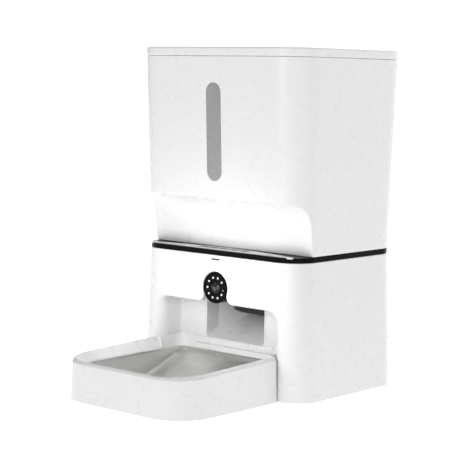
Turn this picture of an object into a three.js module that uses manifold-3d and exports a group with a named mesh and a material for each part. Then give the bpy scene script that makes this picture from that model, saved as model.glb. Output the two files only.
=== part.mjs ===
// Automatic pet feeder with a lift-off food hopper, camera, sloped chute and pull-out bowl tray.
// Millimetres, +Z up, front towards -Y. Pieces are laid out around the deck's centre (X = Y = 0,
// Z = 0 on the floor), and the whole object is then shifted so that its box is centred on the origin.
import * as THREE from 'three';
import { mergeVertices } from 'three/addons/utils/BufferGeometryUtils.js';
import Module from 'manifold-3d';

const wasm = await Module();
wasm.setup();

// ---------- driving dimensions ----------
// Casing: the body widens from the deck both upwards to the lid and downwards to the floor.
const deckWidth = 273;
const deckDepth = 217;
const deckCorner = 36;
const lidFlareX = 6.5;
const lidFlareY = 11;
const lidCorner = 45;
const lidSetback = -1.5;
const skirtFlareX = 8;
const skirtFlareY = 2;
const skirtCorner = 38;
const skirtSetback = 1.2;

// Heights of the casings' joints.
const footHeight = 1.5;
const deckUnder = 180;
const deckThick = 6.5;
const lidTop = 450;
const lidHeight = 11.7;

// Walls and clearances.
const shellWall = 3;
const hopperWall = 2.6;
const plateThick = 3;
const touchGap = 0.3;
const seamGap = 0.4;
const slideGap = 1;

// Step in the hopper's front above the deck's ledge, with depths from the deck's front edge.
const coveTopZ = 255.5;
const coveTopDepth = -4;
const coveBendZ = 250.5;
const coveBendDepth = 24.5;
const coveFootZ = 222;
const coveFootDepth = 27;
const ledgeDepth = 32;

// Level window in the hopper's front.
const windowWidth = 24.5;
const windowBottom = 277;
const windowDrop = 34.8;
const windowProud = 0.6;
const windowFlange = 2.5;
const windowFlangeThick = 1.4;

// Mouth in the base's front, a little narrower than the tray on each side, and the chute behind it.
const mouthStep = 13.25;
const mouthTop = 116.5;
const mouthCorner = 13;
const mouthDepth = 42.5;
const jambRound = 17;
const jambSteps = 5;
const chuteHalf = 50.6;
const chuteStraight = 24;
const chuteNeckHalf = 34;
const chuteHeadroom = 1;
const rampLipZ = 61.8;
const rampSlope = 20;
const rampThick = 2.6;
const lipDrop = 8.6;
const lipHalf = 67.5;
const lipReach = 4.6;

// Camera pod above the mouth.
const podRadius = 20.4;
const podZ = 136.5;
const podLength = 46;
const podWall = 2;
const podClear = 1.2;
const podProud = 0.4;
const faceInset = 1;
const faceDepth = 3;
const ledCount = 9;
const ledRingRadius = 13.7;
const ledRadius = 1.6;
const ledFirstAngle = 36.1;
const sensorAngle = -10.3;
const sensorRadius = 1;
const lensRadius = 7;
const lensDome = 0.8;
const lensLength = 12;
const cameraBoardSide = 22;

// Microphone slot.
const slotWidth = 15;
const slotHeight = 1.8;
const slotZ = 174.2;
const slotDepth = 8;

// Dispensing cup, rotor and throat, all on one vertical axis that keeps the cup clear of the back wall.
const cupRadius = 68;
const cupBackGap = 3.5;
const cupWall = 2.5;
const cupHeadroom = 10;
const cupDrop = 5.5;
const cupOverlap = 26;
const throatRadius = 42;
const throatWall = 2;
const vaneCount = 6;
const vaneClear = 2.2;
const vaneHeight = 34;
const vaneThick = 3;
const hubRadius = 9;
const hubRise = 3;
const shaftRadius = 4;
const shaftSink = 6;
const bearingWall = 5;
const outletInner = 30;
const outletHalfAngle = 38;
const stirReach = 36;
const stirHigh = 9.5;
const stirLow = 6.5;
const stirWidth = 6;
const stirThick = 4;
const stirPost = 4.5;
const gasketWidth = 4;
const gasketHeight = 2;

// Gear train below the cup.
const gearModule = 1;
const wheelTeeth = 60;
const pinionTeeth = 12;
const toothTip = 0.9;
const toothRoot = 1.15;
const gearFace = 8;
const gearRoom = 2.2;
const pinionRoom = 8.2;
const gearHeadroom = 2;
const gearboxDrop = 13.5;
const gearboxWall = 2.4;
const gearboxDepth = 16.5;
const gearboxSpigot = 1.5;
const motorRadius = 13.5;
const motorLength = 34;
const motorBoss = 5;
const motorBossRise = 2;
const pinionBore = 1.5;

// Ledge keys.
const keyCount = 5;
const keyWidth = 14.6;
const keyDepth = 12.6;
const keyPitch = 17.4;
const keyInset = 17.5;
const keyTravel = 1;
const keyProud = 0.6;
const keyGap = 0.5;
const keyFlange = 1.2;
const keyFlangeReach = 2;
const domeRadius = 3;
const domeHeight = 2;
const keyBoardMargin = 10;
const keyBoardDepth = 18;

// Lens-shaped panel round the keys.
const panelProud = 0.4;
const panelDepth = 1.6;
const panelEndInset = 13;
const panelNose = 9;
const panelNosePull = 2;
const panelFrontInset = 4;
const panelBackGap = 1.5;

// Bowl tray and bowl.
const trayWidth = 221.5;
const trayFoot = 180.5;
const trayCorner = 52;
const trayDraft = 5.5;
const trayFrontDraft = 1.65;
const trayDraftZ = 80;
const trayWall = 3;
const trayFrontZ = 53;
const trayRearZ = 60;
const trayGap = 1;
const tongueGap = 1.6;
const tongueCorner = 2;
const rimInnerZ = 45;
const rimWidth = 19;
const rimCrest = 3;
const rimRise = 12;
const bowlThick = 1.2;
const bowlFloorZ = 9;
const bowlFloorLength = 92;
const bowlSideDraft = 9;
const bowlCorner = 36;
const bowlRearCorner = 14;
const bowlRearInset = 6.6;
const bowlFlange = 3;
const padRadius = 8;
const padHeight = 1;
const padInsetX = 40;
const padInsetY = 42;

// Battery box, cells and hatch.
const cellRadius = 16.6;
const cellLength = 60.5;
const cellCount = 3;
const cellGap = 0.6;
const cellTip = 4.7;
const cellTipLength = 2;
const boxWall = 2.2;
const boxBehindPanel = 20.8;
const hatchTravel = 8;
const gripInset = 6;
const gripLength = 10;
const gripHalf = 8;
const gripDepth = 0.8;

// Main board with its two tallest parts.
const boardThick = 1.6;
const mainBoardWidth = 96;
const mainBoardHeight = 60;
const mainBoardInset = 14.5;
const mainBoardTopGap = 0.525;
const moduleWidth = 22;
const moduleX = -5;
const moduleZ = 31;
const moduleThick = 3;
const chokeWidth = 18;
const chokeX = 27;
const chokeZ = 43;
const chokeThick = 5;

// Power inlet in the back wall.
const jackX = 62;
const jackZ = 24;
const jackWidth = 11;
const jackLength = 13;
const jackHole = 3.2;
const jackHoleDepth = 10;
const jackPin = 1;
const jackSink = 0.6;

// Speaker over its slots in the floor plate.
const speakerRadius = 18;
const speakerRim = 4;
const speakerMagnet = 9.9;
const speakerHeight = 11;
const speakerInset = 32.5;
const speakerY = 58;
const soundSlots = 5;
const soundSlotPitch = 4;
const soundSlotWidth = 1.6;
const soundSlotHalf = 10;

// Feet, bosses and screws.
const footRadius = 9;
const footInsetX = 34;
const footInsetY = 30;
const footBehindPanel = 25;
const bossRadius = 6;
const bossHeight = 30;
const bossInset = 8;
const bossY = 62;
const bossRoof = 6;
const screwRadius = 1.6;
const screwHead = 3.4;
const screwEnd = 2;

// Lid, seal and desiccant holder.
const lidWall = 2.8;
const lidEdgeWall = 6.8;
const plugGap = 3.4;
const plugDepth = 9;
const plugWall = 2.4;
const sealClear = 0.9;
const sealLift = 2;
const sealHeight = 3;
const capRadius = 27;
const capThick = 2;
const capSlots = 6;
const capSlotRadius = 2.5;
const capSlotRing = 18.9;
const capGripHalf = 15;
const capGripWidth = 4;
const capGripHeight = 5;
const desiccantWall = 2;
const desiccantDepth = 15;

// Funnel in the hopper's floor.
const funnelTop = 266;
const funnelRim = 6;
const funnelNeck = 206;
const funnelReach = 3;
const funnelCornerFlat = 0.25;

// Curve steps, the reach of the widest cutting solids, and how far small ones pass a face.
const cornerSteps = 8;
const smallSteps = 16;
const midSteps = 24;
const roundSteps = 32;
const fineSteps = 44;
const far = 600;
const cut = 1;
const lap = 0.5;

// ---------- finishes ----------
const finish = {
  white: { color: 0xe9e9e9, roughness: 0.22, metalness: 0 },
  black: { color: 0x0c0c0d, roughness: 0.12, metalness: 0 },
  innerBlack: { color: 0x151516, roughness: 0.5, metalness: 0 },
  smoke: { color: 0x9b9b9b, roughness: 0.2, metalness: 0 },
  steel: { color: 0xb4b2ad, roughness: 0.32, metalness: 1 },
  zinc: { color: 0x9a9a98, roughness: 0.4, metalness: 1 },
  rubber: { color: 0x2a2a2b, roughness: 0.85, metalness: 0 },
  silicone: { color: 0xcfcfcd, roughness: 0.6, metalness: 0 },
  key: { color: 0x8d8f91, roughness: 0.45, metalness: 0 },
  nylon: { color: 0xd8d4c6, roughness: 0.5, metalness: 0 },
  board: { color: 0x1f5d38, roughness: 0.5, metalness: 0 },
  led: { color: 0xdcdcdc, roughness: 0.25, metalness: 0 },
  lens: { color: 0x08090c, roughness: 0.05, metalness: 0 },
  cell: { color: 0x8a6a2c, roughness: 0.4, metalness: 0.3 },
};

// ---------- geometry helpers ----------
function solidOf(geometry) {
  const bare = geometry.clone();
  bare.deleteAttribute('normal');
  bare.deleteAttribute('uv');
  const merged = mergeVertices(bare, 1e-4);
  return new wasm.Manifold(new wasm.Mesh({
    numProp: 3,
    vertProperties: new Float32Array(merged.attributes.position.array),
    triVerts: new Uint32Array(merged.index.array),
  }));
}

function geometryOf(solid) {
  const mesh = solid.getMesh();
  const geometry = new THREE.BufferGeometry();
  geometry.setAttribute('position', new THREE.BufferAttribute(new Float32Array(mesh.vertProperties), 3));
  geometry.setIndex(new THREE.BufferAttribute(new Uint32Array(mesh.triVerts), 1));
  geometry.computeVertexNormals();
  return geometry;
}

function box(x0, x1, y0, y1, z0, z1) {
  const geometry = new THREE.BoxGeometry(x1 - x0, y1 - y0, z1 - z0);
  return solidOf(geometry.translate((x0 + x1) / 2, (y0 + y1) / 2, (z0 + z1) / 2));
}

function cylinder(radius, z0, z1, x = 0, y = 0, steps = roundSteps, topRadius = radius) {
  const geometry = new THREE.CylinderGeometry(topRadius, radius, z1 - z0, steps);
  return solidOf(geometry.rotateX(Math.PI / 2).translate(x, y, (z0 + z1) / 2));
}

// A cylinder that lies along Y.
function rodAlongY(radius, y0, y1, x, z, steps = roundSteps) {
  const geometry = new THREE.CylinderGeometry(radius, radius, y1 - y0, steps);
  return solidOf(geometry.translate(x, (y0 + y1) / 2, z));
}

// A cylinder that lies along X.
function rodAlongX(radius, x0, x1, y, z, steps = roundSteps) {
  const geometry = new THREE.CylinderGeometry(radius, radius, x1 - x0, steps);
  return solidOf(geometry.rotateZ(Math.PI / 2).translate((x0 + x1) / 2, y, z));
}

function ring(inner, outer, z0, z1, x = 0, y = 0, steps = roundSteps) {
  return cylinder(outer, z0, z1, x, y, steps).subtract(cylinder(inner, z0 - 1, z1 + 1, x, y, steps));
}

// An outline with straight sides and round corners; front and rear corners can differ.
function outline(size, steps = cornerSteps) {
  const { x = 0, y = 0, width, depth, corner, rearCorner = corner } = size;
  const corners = [
    { sx: -1, sy: -1, start: Math.PI, radius: corner },
    { sx: 1, sy: -1, start: 1.5 * Math.PI, radius: corner },
    { sx: 1, sy: 1, start: 0, radius: rearCorner },
    { sx: -1, sy: 1, start: 0.5 * Math.PI, radius: rearCorner },
  ];
  return corners.flatMap(({ sx, sy, start, radius }) => new THREE.EllipseCurve(
    x + sx * (width / 2 - radius), y + sy * (depth / 2 - radius), radius, radius,
    start, start + Math.PI / 2,
  ).getPoints(steps));
}

// A solid through two or more outlines with equal numbers of points, each at its own height.
function loft(levels) {
  const base = levels[0].points;
  const geometry = new THREE.ExtrudeGeometry(new THREE.Shape(base), {
    depth: levels.length - 1, steps: levels.length - 1, bevelEnabled: false,
  });
  const position = geometry.attributes.position;
  for (let i = 0; i < position.count; i += 1) {
    const level = levels[Math.round(position.getZ(i))];
    const x = position.getX(i);
    const y = position.getY(i);
    const k = base.findIndex((p) => Math.abs(p.x - x) < 1e-4 && Math.abs(p.y - y) < 1e-4);
    position.setXYZ(i, level.points[k].x, level.points[k].y, level.z);
  }
  return solidOf(geometry);
}

function taperedBlock(lower, z0, upper, z1, steps = cornerSteps) {
  return loft([{ z: z0, points: outline(lower, steps) }, { z: z1, points: outline(upper, steps) }]);
}

// A flat outline in X and Y, raised from z0 to z1.
function upright(points, z0, z1) {
  const shape = points instanceof THREE.Shape ? points : new THREE.Shape(points);
  const geometry = new THREE.ExtrudeGeometry(shape, {
    depth: z1 - z0, bevelEnabled: false, curveSegments: 12,
  });
  return solidOf(geometry.translate(0, 0, z0));
}

// A side profile in Y and Z, stretched along X.
function across(shape, x0, x1) {
  const geometry = new THREE.ExtrudeGeometry(shape, {
    depth: x1 - x0, bevelEnabled: false, curveSegments: 10,
  });
  const toYZ = new THREE.Matrix4().makeBasis(
    new THREE.Vector3(0, 1, 0), new THREE.Vector3(0, 0, 1), new THREE.Vector3(1, 0, 0),
  );
  return solidOf(geometry.applyMatrix4(toYZ).translate(x0, 0, 0));
}

// A front profile in X and Z, stretched along Y from y0 back to y1.
function backwards(shape, y0, y1) {
  const geometry = new THREE.ExtrudeGeometry(shape, {
    depth: y1 - y0, bevelEnabled: false, curveSegments: 8,
  });
  return solidOf(geometry.rotateX(Math.PI / 2).translate(0, y1, 0));
}

function mix(a, b, t) {
  return a + (b - a) * t;
}

function shrink(size, by) {
  return {
    ...size,
    width: size.width - 2 * by,
    depth: size.depth - 2 * by,
    corner: Math.max(size.corner - by, 1),
    rearCorner: Math.max((size.rearCorner ?? size.corner) - by, 1),
  };
}

const group = new THREE.Group();

function addPart(name, solid, look) {
  const mesh = new THREE.Mesh(geometryOf(solid), new THREE.MeshStandardMaterial(look));
  mesh.name = name;
  group.add(mesh);
}

// ---------- casing outlines ----------
const deckTop = deckUnder + deckThick;
const lidSeam = lidTop - lidHeight;
const deckFrontY = -deckDepth / 2;
const deckSize = { width: deckWidth, depth: deckDepth, corner: deckCorner };

// Outline of the hopper and the lid at a height.
function upperSize(z, inset = 0) {
  const t = (z - deckTop) / (lidTop - deckTop);
  return shrink({
    y: lidSetback * t,
    width: deckWidth + 2 * lidFlareX * t,
    depth: deckDepth + 2 * lidFlareY * t,
    corner: mix(deckCorner, lidCorner, t),
  }, inset);
}

// Outline of the base at a height.
function baseSize(z, inset = 0) {
  const t = (deckUnder - z) / deckUnder;
  return shrink({
    y: skirtSetback * t,
    width: deckWidth + 2 * skirtFlareX * t,
    depth: deckDepth + 2 * skirtFlareY * t,
    corner: mix(deckCorner, skirtCorner, t),
  }, inset);
}

function upperBlock(z0, z1, inset = 0) {
  return taperedBlock(upperSize(z0, inset), z0, upperSize(z1, inset), z1);
}

function baseBlock(z0, z1, inset = 0) {
  return taperedBlock(baseSize(z0, inset), z0, baseSize(z1, inset), z1);
}

function frontOf(size) {
  return (size.y ?? 0) - size.depth / 2;
}

function backOf(size) {
  return (size.y ?? 0) + size.depth / 2;
}

const baseFrontY = frontOf(baseSize(0));
const panelY = baseFrontY + mouthDepth;
const mouthHalf = trayWidth / 2 - mouthStep;

// ---------- base shell ----------
// The mouth's outline seen from the front, open towards the floor.
function mouthShape(half, top, corner) {
  const shape = new THREE.Shape();
  shape.moveTo(-half, -footHeight);
  shape.lineTo(half, -footHeight);
  shape.lineTo(half, top - corner);
  shape.absarc(half - corner, top - corner, corner, 0, Math.PI / 2, false);
  shape.absarc(-half + corner, top - corner, corner, Math.PI / 2, Math.PI, false);
  shape.closePath();
  return shape;
}

// The mouth as a solid whose sides round outwards at the base's front, or with a wall its liner's outside.
function mouthBlock(wall, frontY, backY) {
  const radius = jambRound - wall;
  const rounded = Array.from({ length: jambSteps + 1 }, (_, i) => {
    const angle = (i / jambSteps) * (Math.PI / 2);
    return {
      y: baseFrontY + jambRound - radius * Math.sin(angle),
      spread: jambRound - radius * Math.cos(angle),
    };
  });
  const stations = [{ y: backY, spread: wall }, ...rounded, { y: frontY, spread: jambRound }];
  return loft(stations.map(({ y, spread }) => ({
    z: -y,
    points: mouthShape(mouthHalf + spread, mouthTop + wall, mouthCorner + spread).getPoints(cornerSteps),
  }))).rotate([90, 0, 0]);
}

const floorTop = footHeight + plateThick;
const chuteGapHalf = chuteHalf + rampThick + touchGap;
const podHole = podRadius + podClear;
const lensAxisY = frontOf(baseSize(podZ));
const axisY = deckDepth / 2 - shellWall - cupBackGap - cupRadius;
const bossX = deckWidth / 2 + skirtFlareX - bossInset;

function bossPlaces() {
  return [-1, 1].flatMap((sx) => [-1, 1].map((sy) => ({ x: sx * bossX, y: skirtSetback + sy * bossY })));
}

function makeBaseShell() {
  const shellTop = deckUnder - seamGap;
  let shell = baseBlock(footHeight, shellTop).subtract(baseBlock(-cut, deckUnder + cut, shellWall));
  const mouthInside = mouthBlock(0, -far, panelY);
  const liner = mouthBlock(shellWall, baseFrontY - cut, panelY + shellWall);
  const behindFront = baseBlock(footHeight, shellTop, shellWall / 2);
  shell = shell.add(liner.intersect(behindFront)).subtract(mouthInside);
  shell = shell.subtract(box(
    -chuteGapHalf, chuteGapHalf, panelY - cut, panelY + shellWall + cut, -cut, mouthTop - chuteHeadroom,
  ));
  shell = shell.subtract(rodAlongY(podHole, -far, 0, 0, podZ, fineSteps));
  const halfSlot = slotHeight / 2;
  shell = shell.subtract(box(-slotWidth / 2, slotWidth / 2, -far, 0, slotZ - halfSlot, slotZ + halfSlot));
  const jackHalf = jackWidth / 2 + touchGap;
  shell = shell.subtract(box(jackX - jackHalf, jackX + jackHalf, 0, far, jackZ - jackHalf, jackZ + jackHalf));
  for (const { x, y } of bossPlaces()) {
    const boss = cylinder(bossRadius, floorTop + touchGap, bossHeight, x, y, smallSteps);
    const bore = cylinder(screwRadius + touchGap, 0, bossHeight - bossRoof, x, y, smallSteps);
    shell = shell.add(boss.intersect(behindFront)).subtract(bore);
  }
  return shell;
}

addPart('base_shell', makeBaseShell(), finish.white);

// ---------- floor plate, hatch, feet and screws ----------
const cellsLength = cellCount * (cellLength + cellGap) + cellGap;
const boxHalf = cellsLength / 2 + boxWall;
const boxFrontY = panelY + boxBehindPanel;
const boxBackY = boxFrontY + 2 * (cellRadius + cellGap + boxWall);
const cellY = (boxFrontY + boxBackY) / 2;
const cellZ = floorTop + touchGap + cellGap + cellRadius;
const hatchHalf = boxHalf - boxWall - hatchTravel / 2 - touchGap;
const hatchFrontY = boxFrontY + boxWall + slideGap;
const hatchBackY = boxBackY - boxWall - slideGap;
const speakerX = -(deckWidth / 2 - speakerInset);
const trayRearY = panelY - tongueGap;

function makeFloorPlate() {
  let plate = baseBlock(footHeight, floorTop, shellWall + touchGap);
  plate = plate.subtract(mouthBlock(shellWall + touchGap, -far, panelY + shellWall + touchGap));
  const slot = box(
    -hatchHalf - touchGap, hatchHalf + hatchTravel + touchGap,
    hatchFrontY - touchGap, hatchBackY + touchGap, 0, far,
  );
  plate = plate.subtract(slot);
  for (const { x, y } of bossPlaces()) {
    plate = plate.subtract(cylinder(screwRadius + touchGap, 0, far, x, y, smallSteps));
    plate = plate.subtract(cylinder(screwHead + touchGap, 0, footHeight + plateThick / 2, x, y, smallSteps));
  }
  for (let i = 0; i < soundSlots; i += 1) {
    const y = speakerY + (i - (soundSlots - 1) / 2) * soundSlotPitch;
    plate = plate.subtract(box(
      speakerX - soundSlotHalf, speakerX + soundSlotHalf,
      y - soundSlotWidth / 2, y + soundSlotWidth / 2, 0, far,
    ));
  }
  return plate;
}

addPart('base_floor', makeFloorPlate(), finish.white);

function makeHatch() {
  const plate = box(-hatchHalf, hatchHalf, hatchFrontY, hatchBackY, footHeight, floorTop);
  const gripEnd = hatchHalf - gripInset;
  const grip = box(
    gripEnd - gripLength, gripEnd, cellY - gripHalf, cellY + gripHalf, 0, footHeight + gripDepth,
  );
  return plate.subtract(grip);
}

addPart('battery_hatch', makeHatch(), finish.white);

const footX = deckWidth / 2 + skirtFlareX - footInsetX;
const footRearY = backOf(baseSize(0)) - footInsetY;
const footFrontY = panelY + footBehindPanel;
const footPlaces = {
  foot_front_left: [-footX, footFrontY],
  foot_front_right: [footX, footFrontY],
  foot_rear_left: [-footX, footRearY],
  foot_rear_right: [footX, footRearY],
};
for (const [name, [x, y]] of Object.entries(footPlaces)) {
  addPart(name, cylinder(footRadius, 0, footHeight - touchGap, x, y, midSteps), finish.rubber);
}

bossPlaces().forEach(({ x, y }, i) => {
  const headTop = footHeight + plateThick / 2 - touchGap;
  const head = cylinder(screwHead, footHeight + touchGap, headTop, x, y, smallSteps);
  const shank = cylinder(screwRadius, headTop - touchGap, bossHeight - bossRoof - screwEnd, x, y, smallSteps);
  addPart(`base_screw_${i + 1}`, head.add(shank), finish.zinc);
});

// ---------- deck plate, control panel, keys ----------
const keyY = deckFrontY + keyInset;
const ledgeWallY = deckFrontY + ledgeDepth;
const keyPlaces = Array.from({ length: keyCount }, (_, i) => (i - (keyCount - 1) / 2) * keyPitch);

// A lens-shaped panel along the deck's front ledge, grown or shrunk on all sides.
function panelShape(grow) {
  const endX = deckWidth / 2 - panelEndInset;
  const endY = deckFrontY + panelNose;
  const frontY = deckFrontY + panelFrontInset - grow;
  const straightX = endX - panelNose;
  const pullX = endX - panelNosePull;
  const backY = ledgeWallY - panelBackGap + grow;
  const shape = new THREE.Shape();
  shape.moveTo(-straightX, frontY);
  shape.lineTo(straightX, frontY);
  shape.quadraticCurveTo(pullX, frontY, endX + grow, endY);
  shape.quadraticCurveTo(0, 2 * backY - endY, -endX - grow, endY);
  shape.quadraticCurveTo(-pullX, frontY, -straightX, frontY);
  return shape;
}

function keyHoles(grow) {
  return keyPlaces.map((x) => box(
    x - keyWidth / 2 - grow, x + keyWidth / 2 + grow,
    keyY - keyDepth / 2 - grow, keyY + keyDepth / 2 + grow, 0, far,
  )).reduce((all, one) => all.add(one));
}

const panelFloor = deckTop - panelDepth;
const deckHole = throatRadius + throatWall + slideGap;
const holes = keyHoles(keyGap);
const deckPlate = taperedBlock(deckSize, deckUnder, deckSize, deckTop)
  .subtract(cylinder(deckHole, 0, far, 0, axisY, fineSteps))
  .subtract(upright(panelShape(touchGap), panelFloor, far))
  .subtract(holes);
addPart('deck_plate', deckPlate, finish.black);

const panel = upright(panelShape(0), panelFloor + touchGap, deckTop + panelProud).subtract(holes);
addPart('control_panel', panel, finish.white);

const keyFlangeTop = deckUnder - slideGap;
const keyFlangeFoot = keyFlangeTop - keyFlange;
keyPlaces.forEach((x, i) => {
  const cap = box(
    x - keyWidth / 2, x + keyWidth / 2, keyY - keyDepth / 2, keyY + keyDepth / 2,
    keyFlangeTop - lap, deckTop + keyProud,
  );
  const flange = box(
    x - keyPitch / 2 + keyGap, x + keyPitch / 2 - keyGap,
    keyY - keyDepth / 2 - keyFlangeReach, keyY + keyDepth / 2 + keyFlangeReach,
    keyFlangeFoot, keyFlangeTop,
  );
  addPart(`key_${i + 1}`, cap.add(flange), finish.key);
});

const domeTop = keyFlangeFoot - keyTravel - touchGap;
const keyBoardTop = domeTop - domeHeight;
const keyBoardHalf = keyPlaces[keyCount - 1] + keyBoardMargin;
const keyBoard = keyPlaces
  .map((x) => cylinder(domeRadius, keyBoardTop - lap, domeTop, x, keyY, smallSteps))
  .reduce((all, dome) => all.add(dome), box(
    -keyBoardHalf, keyBoardHalf, keyY - keyBoardDepth / 2, keyY + keyBoardDepth / 2,
    keyBoardTop - boardThick, keyBoardTop,
  ));
addPart('key_board', keyBoard, finish.board);

const gasketInner = deckHole + slideGap;
const gasket = ring(
  gasketInner, gasketInner + gasketWidth, deckTop + touchGap, deckTop + gasketHeight, 0, axisY,
);
addPart('throat_gasket', gasket, finish.silicone);

// ---------- camera ----------
const podFrontY = lensAxisY + podProud;
const podBackY = podFrontY + podLength;
const pod = rodAlongY(podRadius, podFrontY, podBackY, 0, podZ, fineSteps)
  .subtract(rodAlongY(podRadius - podWall, podFrontY - cut, podBackY - podWall, 0, podZ, fineSteps));
addPart('camera_pod', pod, finish.black);

// A place on the ring of lights, from its angle in degrees.
function ringPlace(degrees) {
  const angle = THREE.MathUtils.degToRad(degrees);
  return { x: ledRingRadius * Math.cos(angle), z: podZ + ledRingRadius * Math.sin(angle) };
}

// The lights and the sensor share the ring evenly.
const faceRadius = podRadius - podWall - touchGap;
const faceY = podFrontY + faceInset;
const faceBackY = faceY + faceDepth;
const sensorPlace = ringPlace(sensorAngle);
const ledPlaces = Array.from(
  { length: ledCount }, (_, i) => ringPlace(ledFirstAngle + (i * 360) / (ledCount + 1)),
);

function makeCameraFace() {
  let face = rodAlongY(faceRadius, faceY, faceBackY, 0, podZ, fineSteps)
    .subtract(rodAlongY(lensRadius + touchGap, faceY - cut, faceBackY + cut, 0, podZ, midSteps));
  for (const { x, z } of ledPlaces) {
    face = face.subtract(rodAlongY(ledRadius + touchGap, faceY - cut, faceBackY + cut, x, z, smallSteps));
  }
  return face.subtract(rodAlongY(
    sensorRadius + touchGap, faceY - cut, faceBackY + cut, sensorPlace.x, sensorPlace.z, smallSteps,
  ));
}

addPart('camera_face', makeCameraFace(), finish.black);

const ledBoardY = faceBackY + touchGap;
const ledFrontY = faceY + touchGap;
function makeLedRing() {
  let board = rodAlongY(faceRadius - lap, ledBoardY, ledBoardY + boardThick, 0, podZ, roundSteps)
    .subtract(rodAlongY(lensRadius + touchGap, faceY, far, 0, podZ, midSteps));
  for (const { x, z } of ledPlaces) {
    board = board.add(rodAlongY(ledRadius, ledFrontY, ledBoardY + lap, x, z, smallSteps));
  }
  return board;
}

addPart('infrared_led_ring', makeLedRing(), finish.led);
const sensor = rodAlongY(
  sensorRadius, ledFrontY, ledBoardY - touchGap, sensorPlace.x, sensorPlace.z, smallSteps,
);
addPart('light_sensor', sensor, finish.led);

// The lens barrel: a domed front face that turns down into a straight side.
function makeLens() {
  const profile = Array.from({ length: 5 }, (_, i) => {
    const angle = (i / 4) * (Math.PI / 2);
    return new THREE.Vector2(lensRadius * Math.sin(angle), -lensDome * Math.cos(angle));
  });
  profile.push(new THREE.Vector2(lensRadius, lensLength), new THREE.Vector2(0, lensLength));
  return solidOf(new THREE.LatheGeometry(profile, midSteps).translate(0, faceY, podZ));
}

addPart('camera_lens', makeLens(), finish.lens);

const cameraBoardY = faceY + lensLength + slideGap;
const cameraBoard = box(
  -cameraBoardSide / 2, cameraBoardSide / 2, cameraBoardY, cameraBoardY + boardThick,
  podZ - cameraBoardSide / 2, podZ + cameraBoardSide / 2,
);
addPart('camera_board', cameraBoard, finish.board);

const slotFrontY = frontOf(baseSize(slotZ)) + lap;
const slotInsert = box(
  -slotWidth / 2 + touchGap, slotWidth / 2 - touchGap, slotFrontY, slotFrontY + slotDepth,
  slotZ - slotHeight / 2 + touchGap, slotZ + slotHeight / 2 - touchGap,
);
addPart('microphone_grille', slotInsert, finish.innerBlack);

// ---------- chute ----------
const rampRise = Math.tan(THREE.MathUtils.degToRad(rampSlope));
function rampZ(y) {
  return rampLipZ + (y - panelY) * rampRise;
}

const chuteNeckY = axisY - cupOverlap;
const cupFloorZ = rampZ(chuteNeckY) + cupDrop;
const cupTop = deckUnder - cupHeadroom;

function chutePlan(grow, frontY) {
  const elbowY = panelY + chuteStraight;
  const half = [
    [chuteHalf + grow, frontY], [chuteHalf + grow, elbowY],
    [chuteNeckHalf + grow, chuteNeckY],
  ];
  const left = half.slice().reverse().map(([x, y]) => [-x, y]);
  return [...half, ...left].map(([x, y]) => new THREE.Vector2(x, y));
}

// The rolled front edge that hangs from the ramp, from backY forwards.
function lipProfile(backY) {
  const frontY = panelY - lipReach;
  const shape = new THREE.Shape();
  shape.moveTo(backY, rampLipZ);
  shape.quadraticCurveTo(frontY, rampLipZ, frontY, rampLipZ - lipDrop);
  shape.lineTo(frontY + rampThick, rampLipZ - lipDrop);
  shape.lineTo(frontY + rampThick, rampLipZ - 2 * rampThick);
  shape.lineTo(backY, rampLipZ - rampThick);
  shape.closePath();
  return shape;
}

function makeChute() {
  const wallTop = mouthTop - chuteHeadroom - touchGap;
  const outer = upright(chutePlan(rampThick, panelY), 0, wallTop);
  const inner = upright(chutePlan(0, panelY - cut), 0, far);
  const ramp = new THREE.Shape();
  ramp.moveTo(panelY, rampLipZ);
  ramp.lineTo(chuteNeckY, rampZ(chuteNeckY));
  ramp.lineTo(chuteNeckY, rampZ(chuteNeckY) - rampThick);
  ramp.lineTo(panelY, rampLipZ - rampThick);
  ramp.closePath();
  const under = new THREE.Shape();
  under.moveTo(-far, -far);
  under.lineTo(far, -far);
  under.lineTo(far, rampZ(far) - rampThick);
  under.lineTo(-far, rampZ(-far) - rampThick);
  under.closePath();
  const cupSpace = cylinder(cupRadius + touchGap, cupFloorZ - touchGap, far, 0, axisY, fineSteps);
  return outer.subtract(inner)
    .subtract(across(under, -far, far))
    .add(across(ramp, -far, far).intersect(outer))
    .add(across(lipProfile(panelY + lap), -chuteHalf, chuteHalf))
    .add(across(lipProfile(panelY - touchGap), -lipHalf, lipHalf))
    .subtract(cupSpace);
}

addPart('chute', makeChute(), finish.white);

// ---------- dispensing cup and rotor ----------
const gearboxTop = cupFloorZ - gearboxDrop;
const gearboxFoot = gearboxTop - gearboxDepth;
const gearZ = gearboxFoot + gearboxWall + slideGap;
const shaftFoot = gearboxFoot + slideGap;

function makeCup() {
  const inner = cupRadius - cupWall;
  const innerFloor = cupFloorZ + cupWall;
  const outlet = new THREE.Shape();
  const half = THREE.MathUtils.degToRad(outletHalfAngle);
  outlet.absarc(0, 0, inner, -Math.PI / 2 - half, -Math.PI / 2 + half, false);
  outlet.absarc(0, 0, outletInner, -Math.PI / 2 + half, -Math.PI / 2 - half, true);
  outlet.closePath();
  return cylinder(cupRadius, cupFloorZ, cupTop, 0, axisY, fineSteps)
    .subtract(cylinder(inner, innerFloor, far, 0, axisY, fineSteps))
    .subtract(upright(outlet, cupFloorZ - cut, innerFloor + cut).translate([0, axisY, 0]))
    .add(cylinder(shaftRadius + bearingWall, gearboxTop + touchGap, cupFloorZ + lap, 0, axisY, midSteps))
    .subtract(cylinder(shaftRadius + touchGap, 0, far, 0, axisY, midSteps));
}

addPart('dispensing_cup', makeCup(), finish.innerBlack);

const rotorFoot = cupFloorZ + cupWall + slideGap;
const hubTop = rotorFoot + vaneHeight + hubRise;
const shaftTop = hubTop - shaftSink;

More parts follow.
